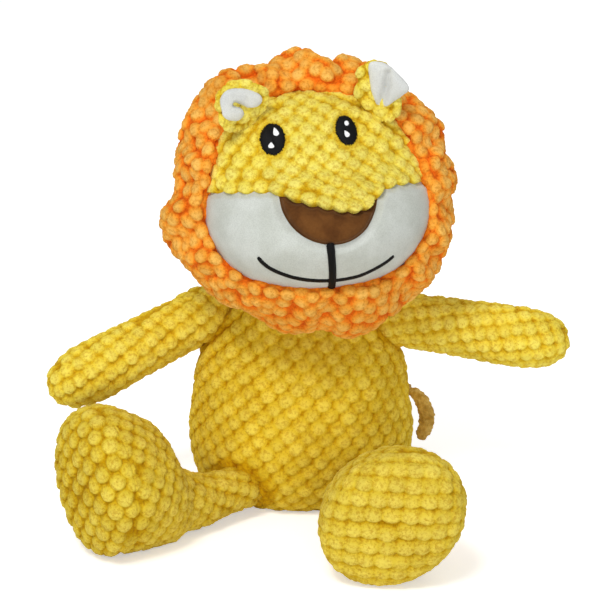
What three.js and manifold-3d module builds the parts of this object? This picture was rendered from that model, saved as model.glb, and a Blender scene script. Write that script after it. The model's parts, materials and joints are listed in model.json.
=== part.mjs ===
// A plush lion sitting with its legs stretched out, as it is sewn and stuffed: panels of bumpy
// pile fabric round cores of polyester fibre, a gathered ruff for a mane, and embroidered features.
// Millimetres, +Z up, the lion faces -Y. Left and right are the lion's own, so its left is +X.

import * as THREE from "three";
import { mergeVertices } from "three/addons/utils/BufferGeometryUtils.js";
import Module from "manifold-3d";

const wasm = await Module();
wasm.setup();

// Fabric and clearances
const SKIN = 3;
const GAP = 0.3;
const FLAT = 0.5;
const OVERRUN = 300;

// Torso: a pear with a flat seat and a flat neck ring. The haunches follow the belly, and the ribs
// lie between belly and chest
const TORSO_HEIGHT = 139;
const BELLY_HEIGHT = 40;
const BELLY_WIDTH = 140;
const BELLY_DEPTH = 106;
const HAUNCH_SHARES = { width: 0.91, depth: 0.88, height: 0.3 };
const RIB_SHARES = { width: 0.58, depth: 0.5, height: 0.5 };
const RIB_SWELL = 3.6;
const SEAT_WIDTH = 92;
const SEAT_DEPTH = 66;
const CHEST_HEIGHT = 94;
const CHEST_WIDTH = 126;
const CHEST_DEPTH = 76;
const SHOULDER_HEIGHT = 116;
const SHOULDER_WIDTH = 99;
const SHOULDER_DEPTH = 58;

// Neck: the gathered sleeve between body and head, with a stem in the torso and a dome in the head
const NECK_RADIUS = 25;
const NECK_DOME_DROP = 1;
const NECK_RING_SHARE = 1.2;
const NECK_STEM_RADIUS = 17;
const NECK_STEM_DEPTH = 18;

// Head, in its own frame: the seam that the mane is sewn into lies in its XZ plane
const HEAD_WIDTH = 138;
const HEAD_HEIGHT = 122;
const BROW_DEPTH = 47;
const MUZZLE_DEPTH = 66;
const NAPE_DEPTH = 48;
const MUZZLE_TOP_SHARE = 0.35;
const MUZZLE_FULL_SHARE = -0.45;
const SNOUT_REACH = 11;
const SNOUT_SPREAD = 0.52;
const SNOUT_DIP = 0.22;
const OUTLINE_POWER = 2.35;
const FACE_POWER = 2.7;
const HEAD_FORWARD = 24;
const HEAD_LIFT = 66;
const HEAD_SIDE = 8.5;
const HEAD_PITCH = THREE.MathUtils.degToRad(-15.5);
const HEAD_ROLL = THREE.MathUtils.degToRad(-4);
const HEAD_YAW = THREE.MathUtils.degToRad(9);

// Face panels: where their seams run, seen from the front of the head
const CHEEK_SEAM_LIFT = { left: 0, right: 5 };
const NOSE_WIDTH = 59;
const NOSE_DROP = 33;
const BRIDGE_DROP = 11;
const NOSE_CORNER_DROP = 1.5;
const CHEEK_SHARE = 0.36;
const BRIDGE_SHARE = 0.62;
const NOSE_SIDE_SHARE = 0.8;
const NOSE_TIP_SHARE = 0.55;

// Embroidery
const THREAD_RISE = 1.2;
const EYE_WIDTH = 14.5;
const EYE_HEIGHT = 18.5;
const EYE_SPACING = 44;
const EYE_SHIFT = -5;
const EYE_LIFT = 32.5;
const EYE_TILT = THREE.MathUtils.degToRad(7);
const GLINT_WIDTH = 3.8;
const GLINT_HEIGHT = 4.8;
const GLINT_RISE = 0.5;
const UPPER_GLINT_SHARES = { across: 0.12, up: 0.2, size: 1 };
const LOWER_GLINT_SHARES = { across: -0.06, up: -0.22, size: 0.8 };
const SMILE_WIDTH = 80;
const SMILE_CORNER_LIFT = { left: -42, right: -35.5 };
const SMILE_BOTTOM = -51;
const SMILE_THREAD = 2.2;
const SMILE_OUTER_SHARE = 0.66;
const SMILE_INNER_SHARE = 0.6;
const LIP_LINE_WIDTH = 4.2;
const LIP_LINE_END = -59;
const LIP_LINE_END_SHARES = { top: 0.7, bottom: 0.9 };

// Mane: a gathered ruff of doubled fabric round the head seam
const MANE_SIDE_REACH = 19;
const MANE_TOP_REACH = 24;
const MANE_DEPTH = 23;
const MANE_TUCK = 4;
const MANE_GATHERS = 12;
const MANE_GATHER_RISE = 1.8;
const MANE_GATHER_SWAY = 2.2;

// Ears: a cupped leaf of bumpy fabric with a smooth lining, gathered into a knot at the head
const EAR_LENGTH = 31;
const EAR_WIDTH = 34;
const EAR_CUP_RADIUS = 12;
const EAR_CURL = 5;
const EAR_ROOT_SHARE = 0.04;
const EAR_TIP_SHARE = 0.98;
const EAR_BACK_THICKNESS = 4;
const EAR_LINING_THICKNESS = 2.4;
const EAR_KNOT_RADIUS = 4.5;
const EAR_KNOT_SINK = 2.8;
const EAR_SIDE_SHARE = 0.231884058;
const EAR_LIFT_SHARE = 0.352459016;
const EAR_SHIFT = -3;
const EAR_SPLAY = THREE.MathUtils.degToRad(40);
const EAR_LEAN = THREE.MathUtils.degToRad(20);

// Arms
const ARM_LENGTH = 99.5;
const ARM_ROOT_RADIUS = 17;
const ARM_PAW_RADIUS = 18.5;
const ARM_ROOT_SHARES = [
  [0, 1, 1],
  [0.24, 1, 1.02],
];
const ARM_PAW_SHARES = [
  [0.46, 0.95, 0.97],
  [0.68, 1, 1],
  [0.86, 0.84, 0.86],
  [0.96, 0.5, 0.52],
  [1, 0, 0],
];
const ARM_SINK = 2.6;
const ARM_HEIGHT = 106;
const ARM_LEFT = { droop: THREE.MathUtils.degToRad(7), sweep: THREE.MathUtils.degToRad(6) };
const ARM_RIGHT = { droop: THREE.MathUtils.degToRad(20), sweep: THREE.MathUtils.degToRad(25) };

// Legs: a thin shank that swells into a big upright foot
const LEG_LENGTH = 103;
const LEG_ROOT_RADIUS = 13.5;
const SHANK_RADIUS = 16.5;
const FOOT_WIDTH = 75;
const FOOT_HEIGHT = 90;
const FOOT_RISE = 27;
const FOOT_THICKNESS = 56;
const SHANK_SHARES = [
  [0.42, 1, 1, 0],
  [0.8, 1.25, 1.4, 0.25],
];
const FOOT_SHARES = [
  [0, 0.76, 0.8, 0.6],
  [0.26, 0.93, 0.92, 0.82],
  [0.56, 1, 1, 1],
  [0.82, 0.94, 0.95, 1],
  [0.95, 0.66, 0.68, 1],
  [1, 0, 0, 1],
];
const SOLE_THICKNESS = 9;
const LEG_SINK = 4;
const HIP_BEARING_LEFT = THREE.MathUtils.degToRad(-56);
const HIP_BEARING_RIGHT = THREE.MathUtils.degToRad(-128);
const LEG_LEFT = { heading: THREE.MathUtils.degToRad(-97), roll: THREE.MathUtils.degToRad(-50) };
const LEG_RIGHT = { heading: THREE.MathUtils.degToRad(-143), roll: THREE.MathUtils.degToRad(14) };

// Tail
const TAIL_HEIGHT = 26;
const TAIL_BEARING = THREE.MathUtils.degToRad(82);
const TAIL_ROOT_RADIUS = 5;
const TAIL_SINK = 1.5;
const TAIL_STEM_RADIUS = 3.8;
const TAIL_TUFT_RADIUS = 6.2;
const TAIL_SPAN = 70;
const TAIL_STEM_SHARE = 0.62;
const TAIL_ROUTE_SHARES = [
  [0, 0, 0],
  [0.18, 0.13, 0.08],
  [0.46, 0.16, 0.21],
  [0.76, 0.05, 0.32],
  [0.96, -0.1, 0.28],
  [1.03, -0.19, 0.1],
  [0.97, -0.21, -0.1],
];
const TUFT_SHARES = { end: 0.3, middle: 0.45, half: 0.56 };

// Closing seam in the back, a ladder of thread
const CLOSING_BOTTOM = 38;
const CLOSING_LENGTH = 56;
const CLOSING_STITCHES = 9;
const CLOSING_HALF_WIDTH = 2.6;
const CLOSING_THREAD_RADIUS = 0.7;

// Facets of each form: round it, and from end to end
const TORSO_FACETS = [22, 13];
const TORSO_CORE_FACETS = [14, 6];
const NECK_FACETS = [16, 5];
const HEAD_FACETS = [24, 14];
const HEAD_CORE_FACETS = [14, 8];
const MANE_FACETS = [48, 6];
const ARM_FACETS = [12, 9];
const ARM_CORE_FACETS = [8, 8];
const LEG_FACETS = [16, 10];
const LEG_CORE_FACETS = [8, 9];
const EAR_FACETS = [6, 5];
const SOCKET_FACETS = [14, 7];
const KNOT_FACETS = [10, 6];
const TAIL_SIDES = 8;
const THREAD_SIDES = 5;

// Fabric colours
const YELLOW = new THREE.MeshStandardMaterial({ color: 0xe8c22c, roughness: 0.95, metalness: 0 });
const ORANGE = new THREE.MeshStandardMaterial({ color: 0xf5873a, roughness: 0.95, metalness: 0 });
const WHITE = new THREE.MeshStandardMaterial({ color: 0xe6e9e8, roughness: 0.9, metalness: 0 });
const BROWN = new THREE.MeshStandardMaterial({ color: 0x6b4428, roughness: 0.9, metalness: 0 });
const BLACK = new THREE.MeshStandardMaterial({ color: 0x17171a, roughness: 0.6, metalness: 0 });
const FIBRE = new THREE.MeshStandardMaterial({ color: 0xf3f3f0, roughness: 1, metalness: 0 });
const TAN = new THREE.MeshStandardMaterial({ color: 0xb08a4a, roughness: 0.95, metalness: 0 });

// Solids

function solid(geometry) {
  const bare = geometry.index ? geometry.toNonIndexed() : geometry.clone();
  bare.deleteAttribute("normal");
  bare.deleteAttribute("uv");
  const merged = mergeVertices(bare, 1e-4);
  const mesh = new wasm.Mesh({
    numProp: 3,
    vertProperties: merged.attributes.position.array,
    triVerts: new Uint32Array(merged.index.array),
  });
  return new wasm.Manifold(mesh);
}

function geometryOf(manifold) {
  const mesh = manifold.getMesh();
  const places = new Float32Array(mesh.numVert * 3);
  for (let i = 0; i < mesh.numVert; i += 1) {
    places.set(mesh.vertProperties.subarray(i * mesh.numProp, i * mesh.numProp + 3), i * 3);
  }
  const geometry = new THREE.BufferGeometry();
  geometry.setAttribute("position", new THREE.BufferAttribute(places, 3));
  geometry.setIndex(new THREE.BufferAttribute(new Uint32Array(mesh.triVerts), 1));
  geometry.computeVertexNormals();
  return geometry;
}

function piece(name, manifold, material) {
  const mesh = new THREE.Mesh(geometryOf(manifold), material);
  mesh.name = name;
  return mesh;
}

// A block between two corners, as a cutter
function block(low, high) {
  const size = high.clone().sub(low);
  const middle = low.clone().add(high).multiplyScalar(0.5);
  const box = new THREE.BoxGeometry(size.x, size.y, size.z);
  return solid(box.translate(middle.x, middle.y, middle.z));
}

// Everything on the far side of a plane square to one axis
function beyond(axis, place, sign) {
  const low = new THREE.Vector3(-OVERRUN, -OVERRUN, -OVERRUN);
  const high = new THREE.Vector3(OVERRUN, OVERRUN, OVERRUN);
  if (sign > 0) {
    low[axis] = place;
  } else {
    high[axis] = place;
  }
  return block(low, high);
}

// A ball whose flat facets stay outside the true radius, so that what turns in it stays clear
function socket(centre, radius) {
  const [around, down] = SOCKET_FACETS;
  const grown = radius / (Math.cos(Math.PI / around) * Math.cos(Math.PI / (2 * down)));
  const ball = new THREE.SphereGeometry(grown, around, down);
  return solid(ball.translate(centre.x, centre.y, centre.z));
}

// Forms are given as point(u, v): u runs once round, v from one pole to the other

const NUDGE = 1e-3;

function normalAt(point, u, v) {
  const round = point(u + NUDGE, v).sub(point(u - NUDGE, v));
  const along = point(u, Math.min(v + NUDGE, 1)).sub(point(u, Math.max(v - NUDGE, 0)));
  return round.cross(along).normalize();
}

function poleNormal(point, v) {
  const inside = v === 0 ? NUDGE : 1 - NUDGE;
  const sum = new THREE.Vector3();
  for (let i = 0; i < 8; i += 1) {
    sum.add(normalAt(point, i / 8, inside));
  }
  return sum.normalize();
}

// The closed surface of a form, drawn in by inset, or grown where inset is negative
function lobe(point, [around, rings], inset = 0) {
  const places = [];
  const put = (p, normal) => places.push(...p.addScaledVector(normal, -inset).toArray());
  put(point(0, 0), poleNormal(point, 0));
  for (let ring = 1; ring < rings; ring += 1) {
    for (let i = 0; i < around; i += 1) {
      const [u, v] = [i / around, ring / rings];
      put(point(u, v), normalAt(point, u, v));
    }
  }
  put(point(0, 1), poleNormal(point, 1));
  const last = places.length / 3 - 1;
  const at = (ring, i) => 1 + (ring - 1) * around + (i % around);
  const faces = [];
  for (let i = 0; i < around; i += 1) {
    faces.push(0, at(1, i + 1), at(1, i));
    faces.push(last, at(rings - 1, i), at(rings - 1, i + 1));
    for (let ring = 1; ring < rings - 1; ring += 1) {
      faces.push(at(ring, i), at(ring, i + 1), at(ring + 1, i + 1));
      faces.push(at(ring, i), at(ring + 1, i + 1), at(ring + 1, i));
    }
  }
  return shaped(places, faces);
}

function shaped(places, faces) {
  const geometry = new THREE.BufferGeometry();
  geometry.setAttribute("position", new THREE.Float32BufferAttribute(places, 3));
  geometry.setIndex(faces);
  return solid(geometry);
}

// A form swept along X through stations of [along, half width, half height, lift]
function swept(stations) {
  const sizes = stations.map(([along, wide, tall]) => new THREE.Vector3(along, wide, tall));
  const lifts = stations.map(([along, , , up]) => new THREE.Vector3(along, up ?? 0, 0));
  const size = new THREE.CatmullRomCurve3(sizes);
  const lift = new THREE.CatmullRomCurve3(lifts);
  return (u, v) => {
    const turn = 2 * Math.PI * u;
    const s = size.getPoint(v);
    const wide = Math.max(s.y, 0) * Math.cos(turn);
    const tall = Math.max(s.z, 0) * Math.sin(turn);
    return new THREE.Vector3(s.x, wide, lift.getPoint(v).y + tall);
  };
}

// Stations of the half ball that a limb turns on, centred on the origin
function rootBall(radius) {
  const shares = [0, 0.4, 0.72];
  return shares.map((share) => {
    const turn = (Math.PI / 2) * share;
    const ring = radius * Math.sin(turn);
    return [-radius * Math.cos(turn), ring, ring];
  });
}

// A tube along part of a curve that never runs along Y, with flat ends; its radius follows the
// share of its own length
function tube(curve, [from, to], radiusAt, rings, sides) {
  const places = [];
  for (let ring = 0; ring <= rings; ring += 1) {
    const share = from + ((to - from) * ring) / rings;
    const centre = curve.getPointAt(share);
    const normal = new THREE.Vector3(0, 1, 0).cross(curve.getTangentAt(share)).normalize();
    const binormal = curve.getTangentAt(share).cross(normal);
    for (let i = 0; i < sides; i += 1) {
      const turn = (2 * Math.PI * i) / sides;
      const out = normal.clone().multiplyScalar(Math.cos(turn)).addScaledVector(binormal, Math.sin(turn));
      places.push(...centre.clone().addScaledVector(out, radiusAt(ring / rings)).toArray());
    }
  }
  const at = (ring, i) => ring * sides + (i % sides);
  const faces = [];
  for (let i = 0; i < sides; i += 1) {
    for (let ring = 0; ring < rings; ring += 1) {
      faces.push(at(ring, i), at(ring, i + 1), at(ring + 1, i + 1));
      faces.push(at(ring, i), at(ring + 1, i + 1), at(ring + 1, i));
    }
    if (i > 1) {
      faces.push(at(0, 0), at(0, i), at(0, i - 1));
      faces.push(at(rings, 0), at(rings, i - 1), at(rings, i));
    }
  }
  return shaped(places, faces);
}

// Torso

// Half width, half depth and height of the torso at each level from the seat to the neck
function torsoStations() {
  const seat = [SEAT_WIDTH / 2, SEAT_DEPTH / 2, -FLAT];
  const haunch = [
    (BELLY_WIDTH * HAUNCH_SHARES.width) / 2,
    (BELLY_DEPTH * HAUNCH_SHARES.depth) / 2,
    BELLY_HEIGHT * HAUNCH_SHARES.height,
  ];
  const belly = [BELLY_WIDTH / 2, BELLY_DEPTH / 2, BELLY_HEIGHT];
  const ribs = [
    (THREE.MathUtils.lerp(BELLY_WIDTH, CHEST_WIDTH, RIB_SHARES.width) + RIB_SWELL) / 2,
    (THREE.MathUtils.lerp(BELLY_DEPTH, CHEST_DEPTH, RIB_SHARES.depth) + RIB_SWELL) / 2,
    THREE.MathUtils.lerp(BELLY_HEIGHT, CHEST_HEIGHT, RIB_SHARES.height),
  ];
  const chest = [CHEST_WIDTH / 2, CHEST_DEPTH / 2, CHEST_HEIGHT];
  const shoulder = [SHOULDER_WIDTH / 2, SHOULDER_DEPTH / 2, SHOULDER_HEIGHT];
  const neck = [NECK_RADIUS * NECK_RING_SHARE, NECK_RADIUS, TORSO_HEIGHT];
  return [[0, 0, -FLAT], seat, haunch, belly, ribs, chest, shoulder, neck, [0, 0, TORSO_HEIGHT + FLAT]];
}

const torsoCurve = new THREE.CatmullRomCurve3(torsoStations().map((p) => new THREE.Vector3(...p)));

function torsoPoint(u, v) {
  const turn = 2 * Math.PI * u;
  const s = torsoCurve.getPoint(v);
  return new THREE.Vector3(Math.max(s.x, 0) * Math.cos(turn), Math.max(s.y, 0) * Math.sin(turn), s.z);
}

// The place and normal of the torso's surface at a height, on a bearing from +X
function torsoAt(height, bearing) {
  let [low, high] = [0.05, 0.95];
  while (high - low > 1e-6) {
    const middle = (low + high) / 2;
    if (torsoCurve.getPoint(middle).z < height) {
      low = middle;
    } else {
      high = middle;
    }
  }
  const u = bearing / (2 * Math.PI);
  return { place: torsoPoint(u, low), normal: normalAt(torsoPoint, u, low) };
}

// Head

// The distance from the head's centre to its surface along a unit direction
function headRadius(n) {
  const low = THREE.MathUtils.smoothstep(-n.z, -MUZZLE_TOP_SHARE, -MUZZLE_FULL_SHARE);
  const front = THREE.MathUtils.lerp(BROW_DEPTH, MUZZLE_DEPTH, low);
  const depth = n.y < 0 ? front : NAPE_DEPTH;
  const wide = (Math.abs(n.x) / (HEAD_WIDTH / 2)) ** OUTLINE_POWER;
  const tall = (Math.abs(n.z) / (HEAD_HEIGHT / 2)) ** OUTLINE_POWER;
  const outline = (wide + tall) ** (1 / OUTLINE_POWER);
  const power = n.y < 0 ? FACE_POWER : 2;
  const base = (outline ** power + (Math.abs(n.y) / depth) ** power) ** (-1 / power);
  const ahead = new THREE.Vector3(0, -1, -SNOUT_DIP).normalize();
  const off = n.angleTo(ahead) / SNOUT_SPREAD;
  return base + SNOUT_REACH * Math.exp(-off * off);
}

function headPoint(u, v) {
  const [turn, fall] = [2 * Math.PI * u, Math.PI * v];
  const ring = Math.sin(fall);
  const n = new THREE.Vector3(ring * Math.sin(turn), -Math.cos(fall), ring * Math.cos(turn));
  return n.clone().multiplyScalar(headRadius(n));
}

// The place and normal of the face at x and z, seen from the front
function faceAt(x, z) {
  let [near, far] = [0, OVERRUN];
  while (far - near > 1e-5) {
    const middle = (near + far) / 2;
    const p = new THREE.Vector3(x, -middle, z);
    if (p.length() < headRadius(p.clone().normalize())) {
      near = middle;
    } else {
      far = middle;
    }
  }
  const place = new THREE.Vector3(x, -near, z);
  const n = place.clone().normalize();
  const v = Math.acos(-n.y) / Math.PI;
  const u = Math.atan2(n.x, n.z) / (2 * Math.PI);
  return { place, normal: normalAt(headPoint, u, v) };
}

// A cutter with a front outline, through the face from the mane's seam forwards
function facePrism(shape) {
  const prism = new THREE.ExtrudeGeometry(shape, { depth: OVERRUN, bevelEnabled: false, curveSegments: 10 });
  return solid(prism.rotateX(Math.PI / 2));
}

// The raised thread of an embroidered patch: the layer of the face between two heights
function embroidery(shape, from, to) {
  const layer = lobe(headPoint, HEAD_FACETS, -to).subtract(lobe(headPoint, HEAD_FACETS, -from));
  return layer.intersect(facePrism(shape));
}

// The upper face with the bridge of the nose; drop moves its lower edge down
function upperFaceShape(drop) {
  const left = CHEEK_SEAM_LIFT.left - drop;
  const right = CHEEK_SEAM_LIFT.right - drop;
  const corner = -NOSE_CORNER_DROP - drop;
  const bridge = -BRIDGE_DROP - drop;
  const edge = NOSE_WIDTH / 2 + drop;
  const shape = new THREE.Shape();
  shape.moveTo(-OVERRUN, right);
  shape.lineTo(-HEAD_WIDTH * CHEEK_SHARE, right);
  shape.lineTo(-edge, corner);
  shape.quadraticCurveTo(-edge * BRIDGE_SHARE, bridge, 0, bridge);
  shape.quadraticCurveTo(edge * BRIDGE_SHARE, bridge, edge, corner);
  shape.lineTo(HEAD_WIDTH * CHEEK_SHARE, left);
  shape.lineTo(OVERRUN, left);
  shape.lineTo(OVERRUN, OVERRUN);
  shape.lineTo(-OVERRUN, OVERRUN);
  return shape;
}

// The nose, a half disc below the bridge; grow widens it
function noseShape(grow) {
  const edge = NOSE_WIDTH / 2 - GAP + grow;
  const top = -NOSE_CORNER_DROP - GAP + grow;
  const bridge = -BRIDGE_DROP - GAP + grow;
  const bottom = -NOSE_DROP - grow;
  const side = THREE.MathUtils.lerp(top, bottom, NOSE_SIDE_SHARE);
  const shape = new THREE.Shape();
  shape.moveTo(-edge, top - GAP);
  shape.bezierCurveTo(-edge, side, -edge * NOSE_TIP_SHARE, bottom, 0, bottom);
  shape.bezierCurveTo(edge * NOSE_TIP_SHARE, bottom, edge, side, edge, top - GAP);
  shape.quadraticCurveTo(edge * BRIDGE_SHARE, bridge, 0, bridge);
  shape.quadraticCurveTo(-edge * BRIDGE_SHARE, bridge, -edge, top - GAP);
  return shape;
}

function ovalShape(x, z, width, height, tilt) {
  return new THREE.Shape().absellipse(x, z, width / 2, height / 2, 0, 2 * Math.PI, false, tilt);
}

// Half of the smile, from the lip line out to one cheek
function smileShape(side, corner) {
  const start = LIP_LINE_WIDTH / 2 + GAP;
  const end = SMILE_WIDTH / 2;
  const half = SMILE_THREAD / 2;
  const [lower, upper] = [SMILE_BOTTOM - half, SMILE_BOTTOM + half];
  const shape = new THREE.Shape();
  shape.moveTo(side * start, lower);
  shape.quadraticCurveTo(side * end * SMILE_OUTER_SHARE, lower, side * (end + half), corner);
  shape.lineTo(side * end, corner + half);
  shape.quadraticCurveTo(side * end * SMILE_INNER_SHARE, upper, side * start, upper);
  return shape;
}

// An eye, its two glints and its half of the smile
function faceThread(name, side) {
  const [x, z] = [EYE_SHIFT + (side * EYE_SPACING) / 2, EYE_LIFT];
  const eye = ovalShape(x, z, EYE_WIDTH, EYE_HEIGHT, -side * EYE_TILT);
  const glint = ({ across, up, size }) => {
    const [left, low] = [x + EYE_WIDTH * across, z + EYE_HEIGHT * up];
    const shape = ovalShape(left, low, GLINT_WIDTH * size, GLINT_HEIGHT * size, 0);
    return embroidery(shape, THREAD_RISE + GAP, THREAD_RISE + GAP + GLINT_RISE);
  };
  return [
    piece(`eye_${name}`, embroidery(eye, GAP, THREAD_RISE), BLACK),
    piece(`eye_${name}_upper_glint`, glint(UPPER_GLINT_SHARES), WHITE),
    piece(`eye_${name}_lower_glint`, glint(LOWER_GLINT_SHARES), WHITE),
    piece(`smile_${name}`, embroidery(smileShape(side, SMILE_CORNER_LIFT[name]), GAP, THREAD_RISE), BLACK),
  ];
}

function lipLineShape() {
  const half = LIP_LINE_WIDTH / 2;
  const top = -NOSE_DROP - GAP;
  const shape = new THREE.Shape();
  shape.moveTo(-half * LIP_LINE_END_SHARES.top, top);
  shape.lineTo(-half, (top + LIP_LINE_END) / 2);
  shape.lineTo(-half * LIP_LINE_END_SHARES.bottom, LIP_LINE_END);
  shape.lineTo(half * LIP_LINE_END_SHARES.bottom, LIP_LINE_END);
  shape.lineTo(half, (top + LIP_LINE_END) / 2);
  shape.lineTo(half * LIP_LINE_END_SHARES.top, top);
  return shape;
}

// Mane: the ruff's surface, with its gathers swelling and swaying as they go round
function maneSolid() {
  const [around, sides] = MANE_FACETS;
  const places = [];
  for (let ring = 0; ring < around; ring += 1) {
    const turn = (2 * Math.PI * ring) / around;
    const out = new THREE.Vector3(Math.sin(turn), 0, Math.cos(turn));
    const gather = Math.cos(MANE_GATHERS * turn + Math.sin(2 * turn));
    const sway = Math.sin((MANE_GATHERS * turn) / 2 + 1) * MANE_GATHER_SWAY;
    const fullness = THREE.MathUtils.lerp(MANE_SIDE_REACH, MANE_TOP_REACH, out.z ** 2);
    const reach = (fullness + MANE_TUCK + gather * MANE_GATHER_RISE) / 2;
    const depth = (MANE_DEPTH + gather * MANE_GATHER_RISE) / 2;
    const middle = headRadius(out) - MANE_TUCK + reach;
    for (let i = 0; i < sides; i += 1) {
      const lean = (2 * Math.PI * i) / sides;
      const p = out.clone().multiplyScalar(middle + reach * Math.cos(lean));
      p.y = depth * Math.sin(lean) + (sway * (1 + Math.cos(lean))) / 2;
      places.push(...p.toArray());
    }
  }
  const at = (ring, i) => (ring % around) * sides + (i % sides);
  const faces = [];
  for (let ring = 0; ring < around; ring += 1) {
    for (let i = 0; i < sides; i += 1) {
      faces.push(at(ring, i), at(ring + 1, i + 1), at(ring, i + 1));
      faces.push(at(ring, i), at(ring + 1, i), at(ring + 1, i + 1));
    }
  }
  const ruff = shaped(places, faces);
  return ruff.subtract(lobe(headPoint, HEAD_FACETS, -GAP));
}

// Ears, in a frame with the leaf rising along +Z from its knot and cupped towards -Y

function earPoint(across, up, depth) {
  const share = THREE.MathUtils.lerp(EAR_ROOT_SHARE, EAR_TIP_SHARE, up);
  const wide = (EAR_WIDTH / 2) * Math.sqrt(Math.sin(Math.PI * share));
  const bend = (across * wide) / EAR_CUP_RADIUS;
  const radius = EAR_CUP_RADIUS + depth;
  const back = radius * Math.cos(bend) - EAR_CUP_RADIUS - EAR_CURL * up * up;
  return new THREE.Vector3(radius * Math.sin(bend), back, up * EAR_LENGTH);
}

// A leaf between two depths of the cup, closed round its edge
function earLeaf(inner, outer) {
  const [across, up] = EAR_FACETS;
  const places = [];
  [inner, outer].forEach((depth) => {
    for (let j = 0; j <= up; j += 1) {
      for (let i = 0; i <= across; i += 1) {
        places.push(...earPoint((2 * i) / across - 1, j / up, depth).toArray());
      }
    }
  });
  const layer = (across + 1) * (up + 1);
  const at = (side, i, j) => side * layer + j * (across + 1) + i;
  const faces = [];
  const quad = (a, b, c, d) => faces.push(a, b, c, a, c, d);
  for (let j = 0; j < up; j += 1) {
    for (let i = 0; i < across; i += 1) {
      quad(at(0, i, j), at(0, i + 1, j), at(0, i + 1, j + 1), at(0, i, j + 1));
      quad(at(1, i, j), at(1, i, j + 1), at(1, i + 1, j + 1), at(1, i + 1, j));
    }
    quad(at(0, 0, j), at(0, 0, j + 1), at(1, 0, j + 1), at(1, 0, j));
    quad(at(0, across, j), at(1, across, j), at(1, across, j + 1), at(0, across, j + 1));
  }
  for (let i = 0; i < across; i += 1) {
    quad(at(0, i, 0), at(1, i, 0), at(1, i + 1, 0), at(0, i + 1, 0));
    quad(at(0, i, up), at(0, i + 1, up), at(1, i + 1, up), at(1, i, up));
  }
  return shaped(places, faces);
}

function ear(side, name) {
  const seat = faceAt(EAR_SHIFT + side * HEAD_WIDTH * EAR_SIDE_SHARE, HEAD_HEIGHT * EAR_LIFT_SHARE);
  const group = new THREE.Group();
  group.position.copy(seat.place).addScaledVector(seat.normal, EAR_KNOT_RADIUS - EAR_KNOT_SINK);
  group.rotation.set(EAR_LEAN, side * EAR_SPLAY, 0, "YXZ");
  const knot = solid(new THREE.SphereGeometry(EAR_KNOT_RADIUS, ...KNOT_FACETS));
  const back = earLeaf(0, EAR_BACK_THICKNESS).add(knot);
  const room = socket(new THREE.Vector3(), EAR_KNOT_RADIUS + GAP);
  const lining = earLeaf(-GAP - EAR_LINING_THICKNESS, -GAP).subtract(room);
  group.add(piece(`${name}_back`, back, YELLOW));
  group.add(piece(`${name}_lining`, lining, WHITE));
  return group;
}

// Arms

function armStations(shares, radius) {
  return shares.map(([along, wide, tall]) => [ARM_LENGTH * along, radius * wide, radius * tall]);
}

const armPoint = swept([
  ...rootBall(ARM_ROOT_RADIUS),
  ...armStations(ARM_ROOT_SHARES, ARM_ROOT_RADIUS),
  ...armStations(ARM_PAW_SHARES, ARM_PAW_RADIUS),
]);

function arm(name, side, { droop, sweep }) {
  const seat = torsoAt(ARM_HEIGHT, side > 0 ? 0 : Math.PI);
  const group = new THREE.Group();
  group.position.copy(seat.place).addScaledVector(seat.normal, ARM_ROOT_RADIUS - ARM_SINK);
  group.rotation.set(0, droop, side > 0 ? -sweep : Math.PI + sweep, "ZYX");
  const skin = lobe(armPoint, ARM_FACETS).subtract(lobe(armPoint, ARM_CORE_FACETS, SKIN));
  const [front, back] = side > 0 ? [-1, 1] : [1, -1];
  group.add(piece(`${name}_front_panel`, skin.intersect(beyond("y", (front * GAP) / 2, front)), YELLOW));
  group.add(piece(`${name}_back_panel`, skin.intersect(beyond("y", (back * GAP) / 2, back)), YELLOW));
  group.add(piece(`${name}_stuffing`, lobe(armPoint, ARM_CORE_FACETS, SKIN + GAP), FIBRE));
  return group;
}

// Legs

const SHANK_LENGTH = LEG_LENGTH - FOOT_THICKNESS;
const legPoint = swept([
  ...rootBall(LEG_ROOT_RADIUS),
  [0, LEG_ROOT_RADIUS, LEG_ROOT_RADIUS],
  ...SHANK_SHARES.map(([along, wide, tall, rise]) => [
    SHANK_LENGTH * along,
    SHANK_RADIUS * wide,
    SHANK_RADIUS * tall,
    FOOT_RISE * rise,
  ]),
  ...FOOT_SHARES.map(([along, wide, tall, rise]) => [
    SHANK_LENGTH + FOOT_THICKNESS * along,
    (FOOT_WIDTH * wide) / 2,
    (FOOT_HEIGHT * tall) / 2,
    FOOT_RISE * rise,
  ]),
]);

function leg(name, bearing, { heading, roll }) {
  const outer = lobe(legPoint, LEG_FACETS);
  const rolled = (manifold) => solid(geometryOf(manifold).rotateX(roll));
  const hipHeight = -FLAT - rolled(outer).boundingBox().min[2];
  const seat = torsoAt(hipHeight, bearing);
  const level = new THREE.Vector3(seat.normal.x, seat.normal.y, 0);
  const group = new THREE.Group();
  group.position.copy(seat.place).addScaledVector(level, (LEG_ROOT_RADIUS - LEG_SINK) / level.lengthSq());
  group.rotation.z = heading;
  const floor = beyond("z", -hipHeight, -1);
  const solePlace = LEG_LENGTH - SOLE_THICKNESS;
  const skin = outer.subtract(lobe(legPoint, LEG_CORE_FACETS, SKIN));
  const sides = skin.intersect(beyond("x", solePlace - GAP, -1));
  const half = (sign) => rolled(sides.intersect(beyond("y", (sign * GAP) / 2, sign))).subtract(floor);
  const core = rolled(lobe(legPoint, LEG_CORE_FACETS, SKIN + GAP));
  const sole = rolled(skin.intersect(beyond("x", solePlace, 1))).subtract(floor);
  const [inner, outside] = Math.cos(heading) > 0 ? [-1, 1] : [1, -1];
  group.add(piece(`${name}_inner_panel`, half(inner), YELLOW));
  group.add(piece(`${name}_outer_panel`, half(outside), YELLOW));
  group.add(piece(`${name}_sole`, sole, YELLOW));
  group.add(piece(`${name}_stuffing`, core, FIBRE));
  return group;
}

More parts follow.
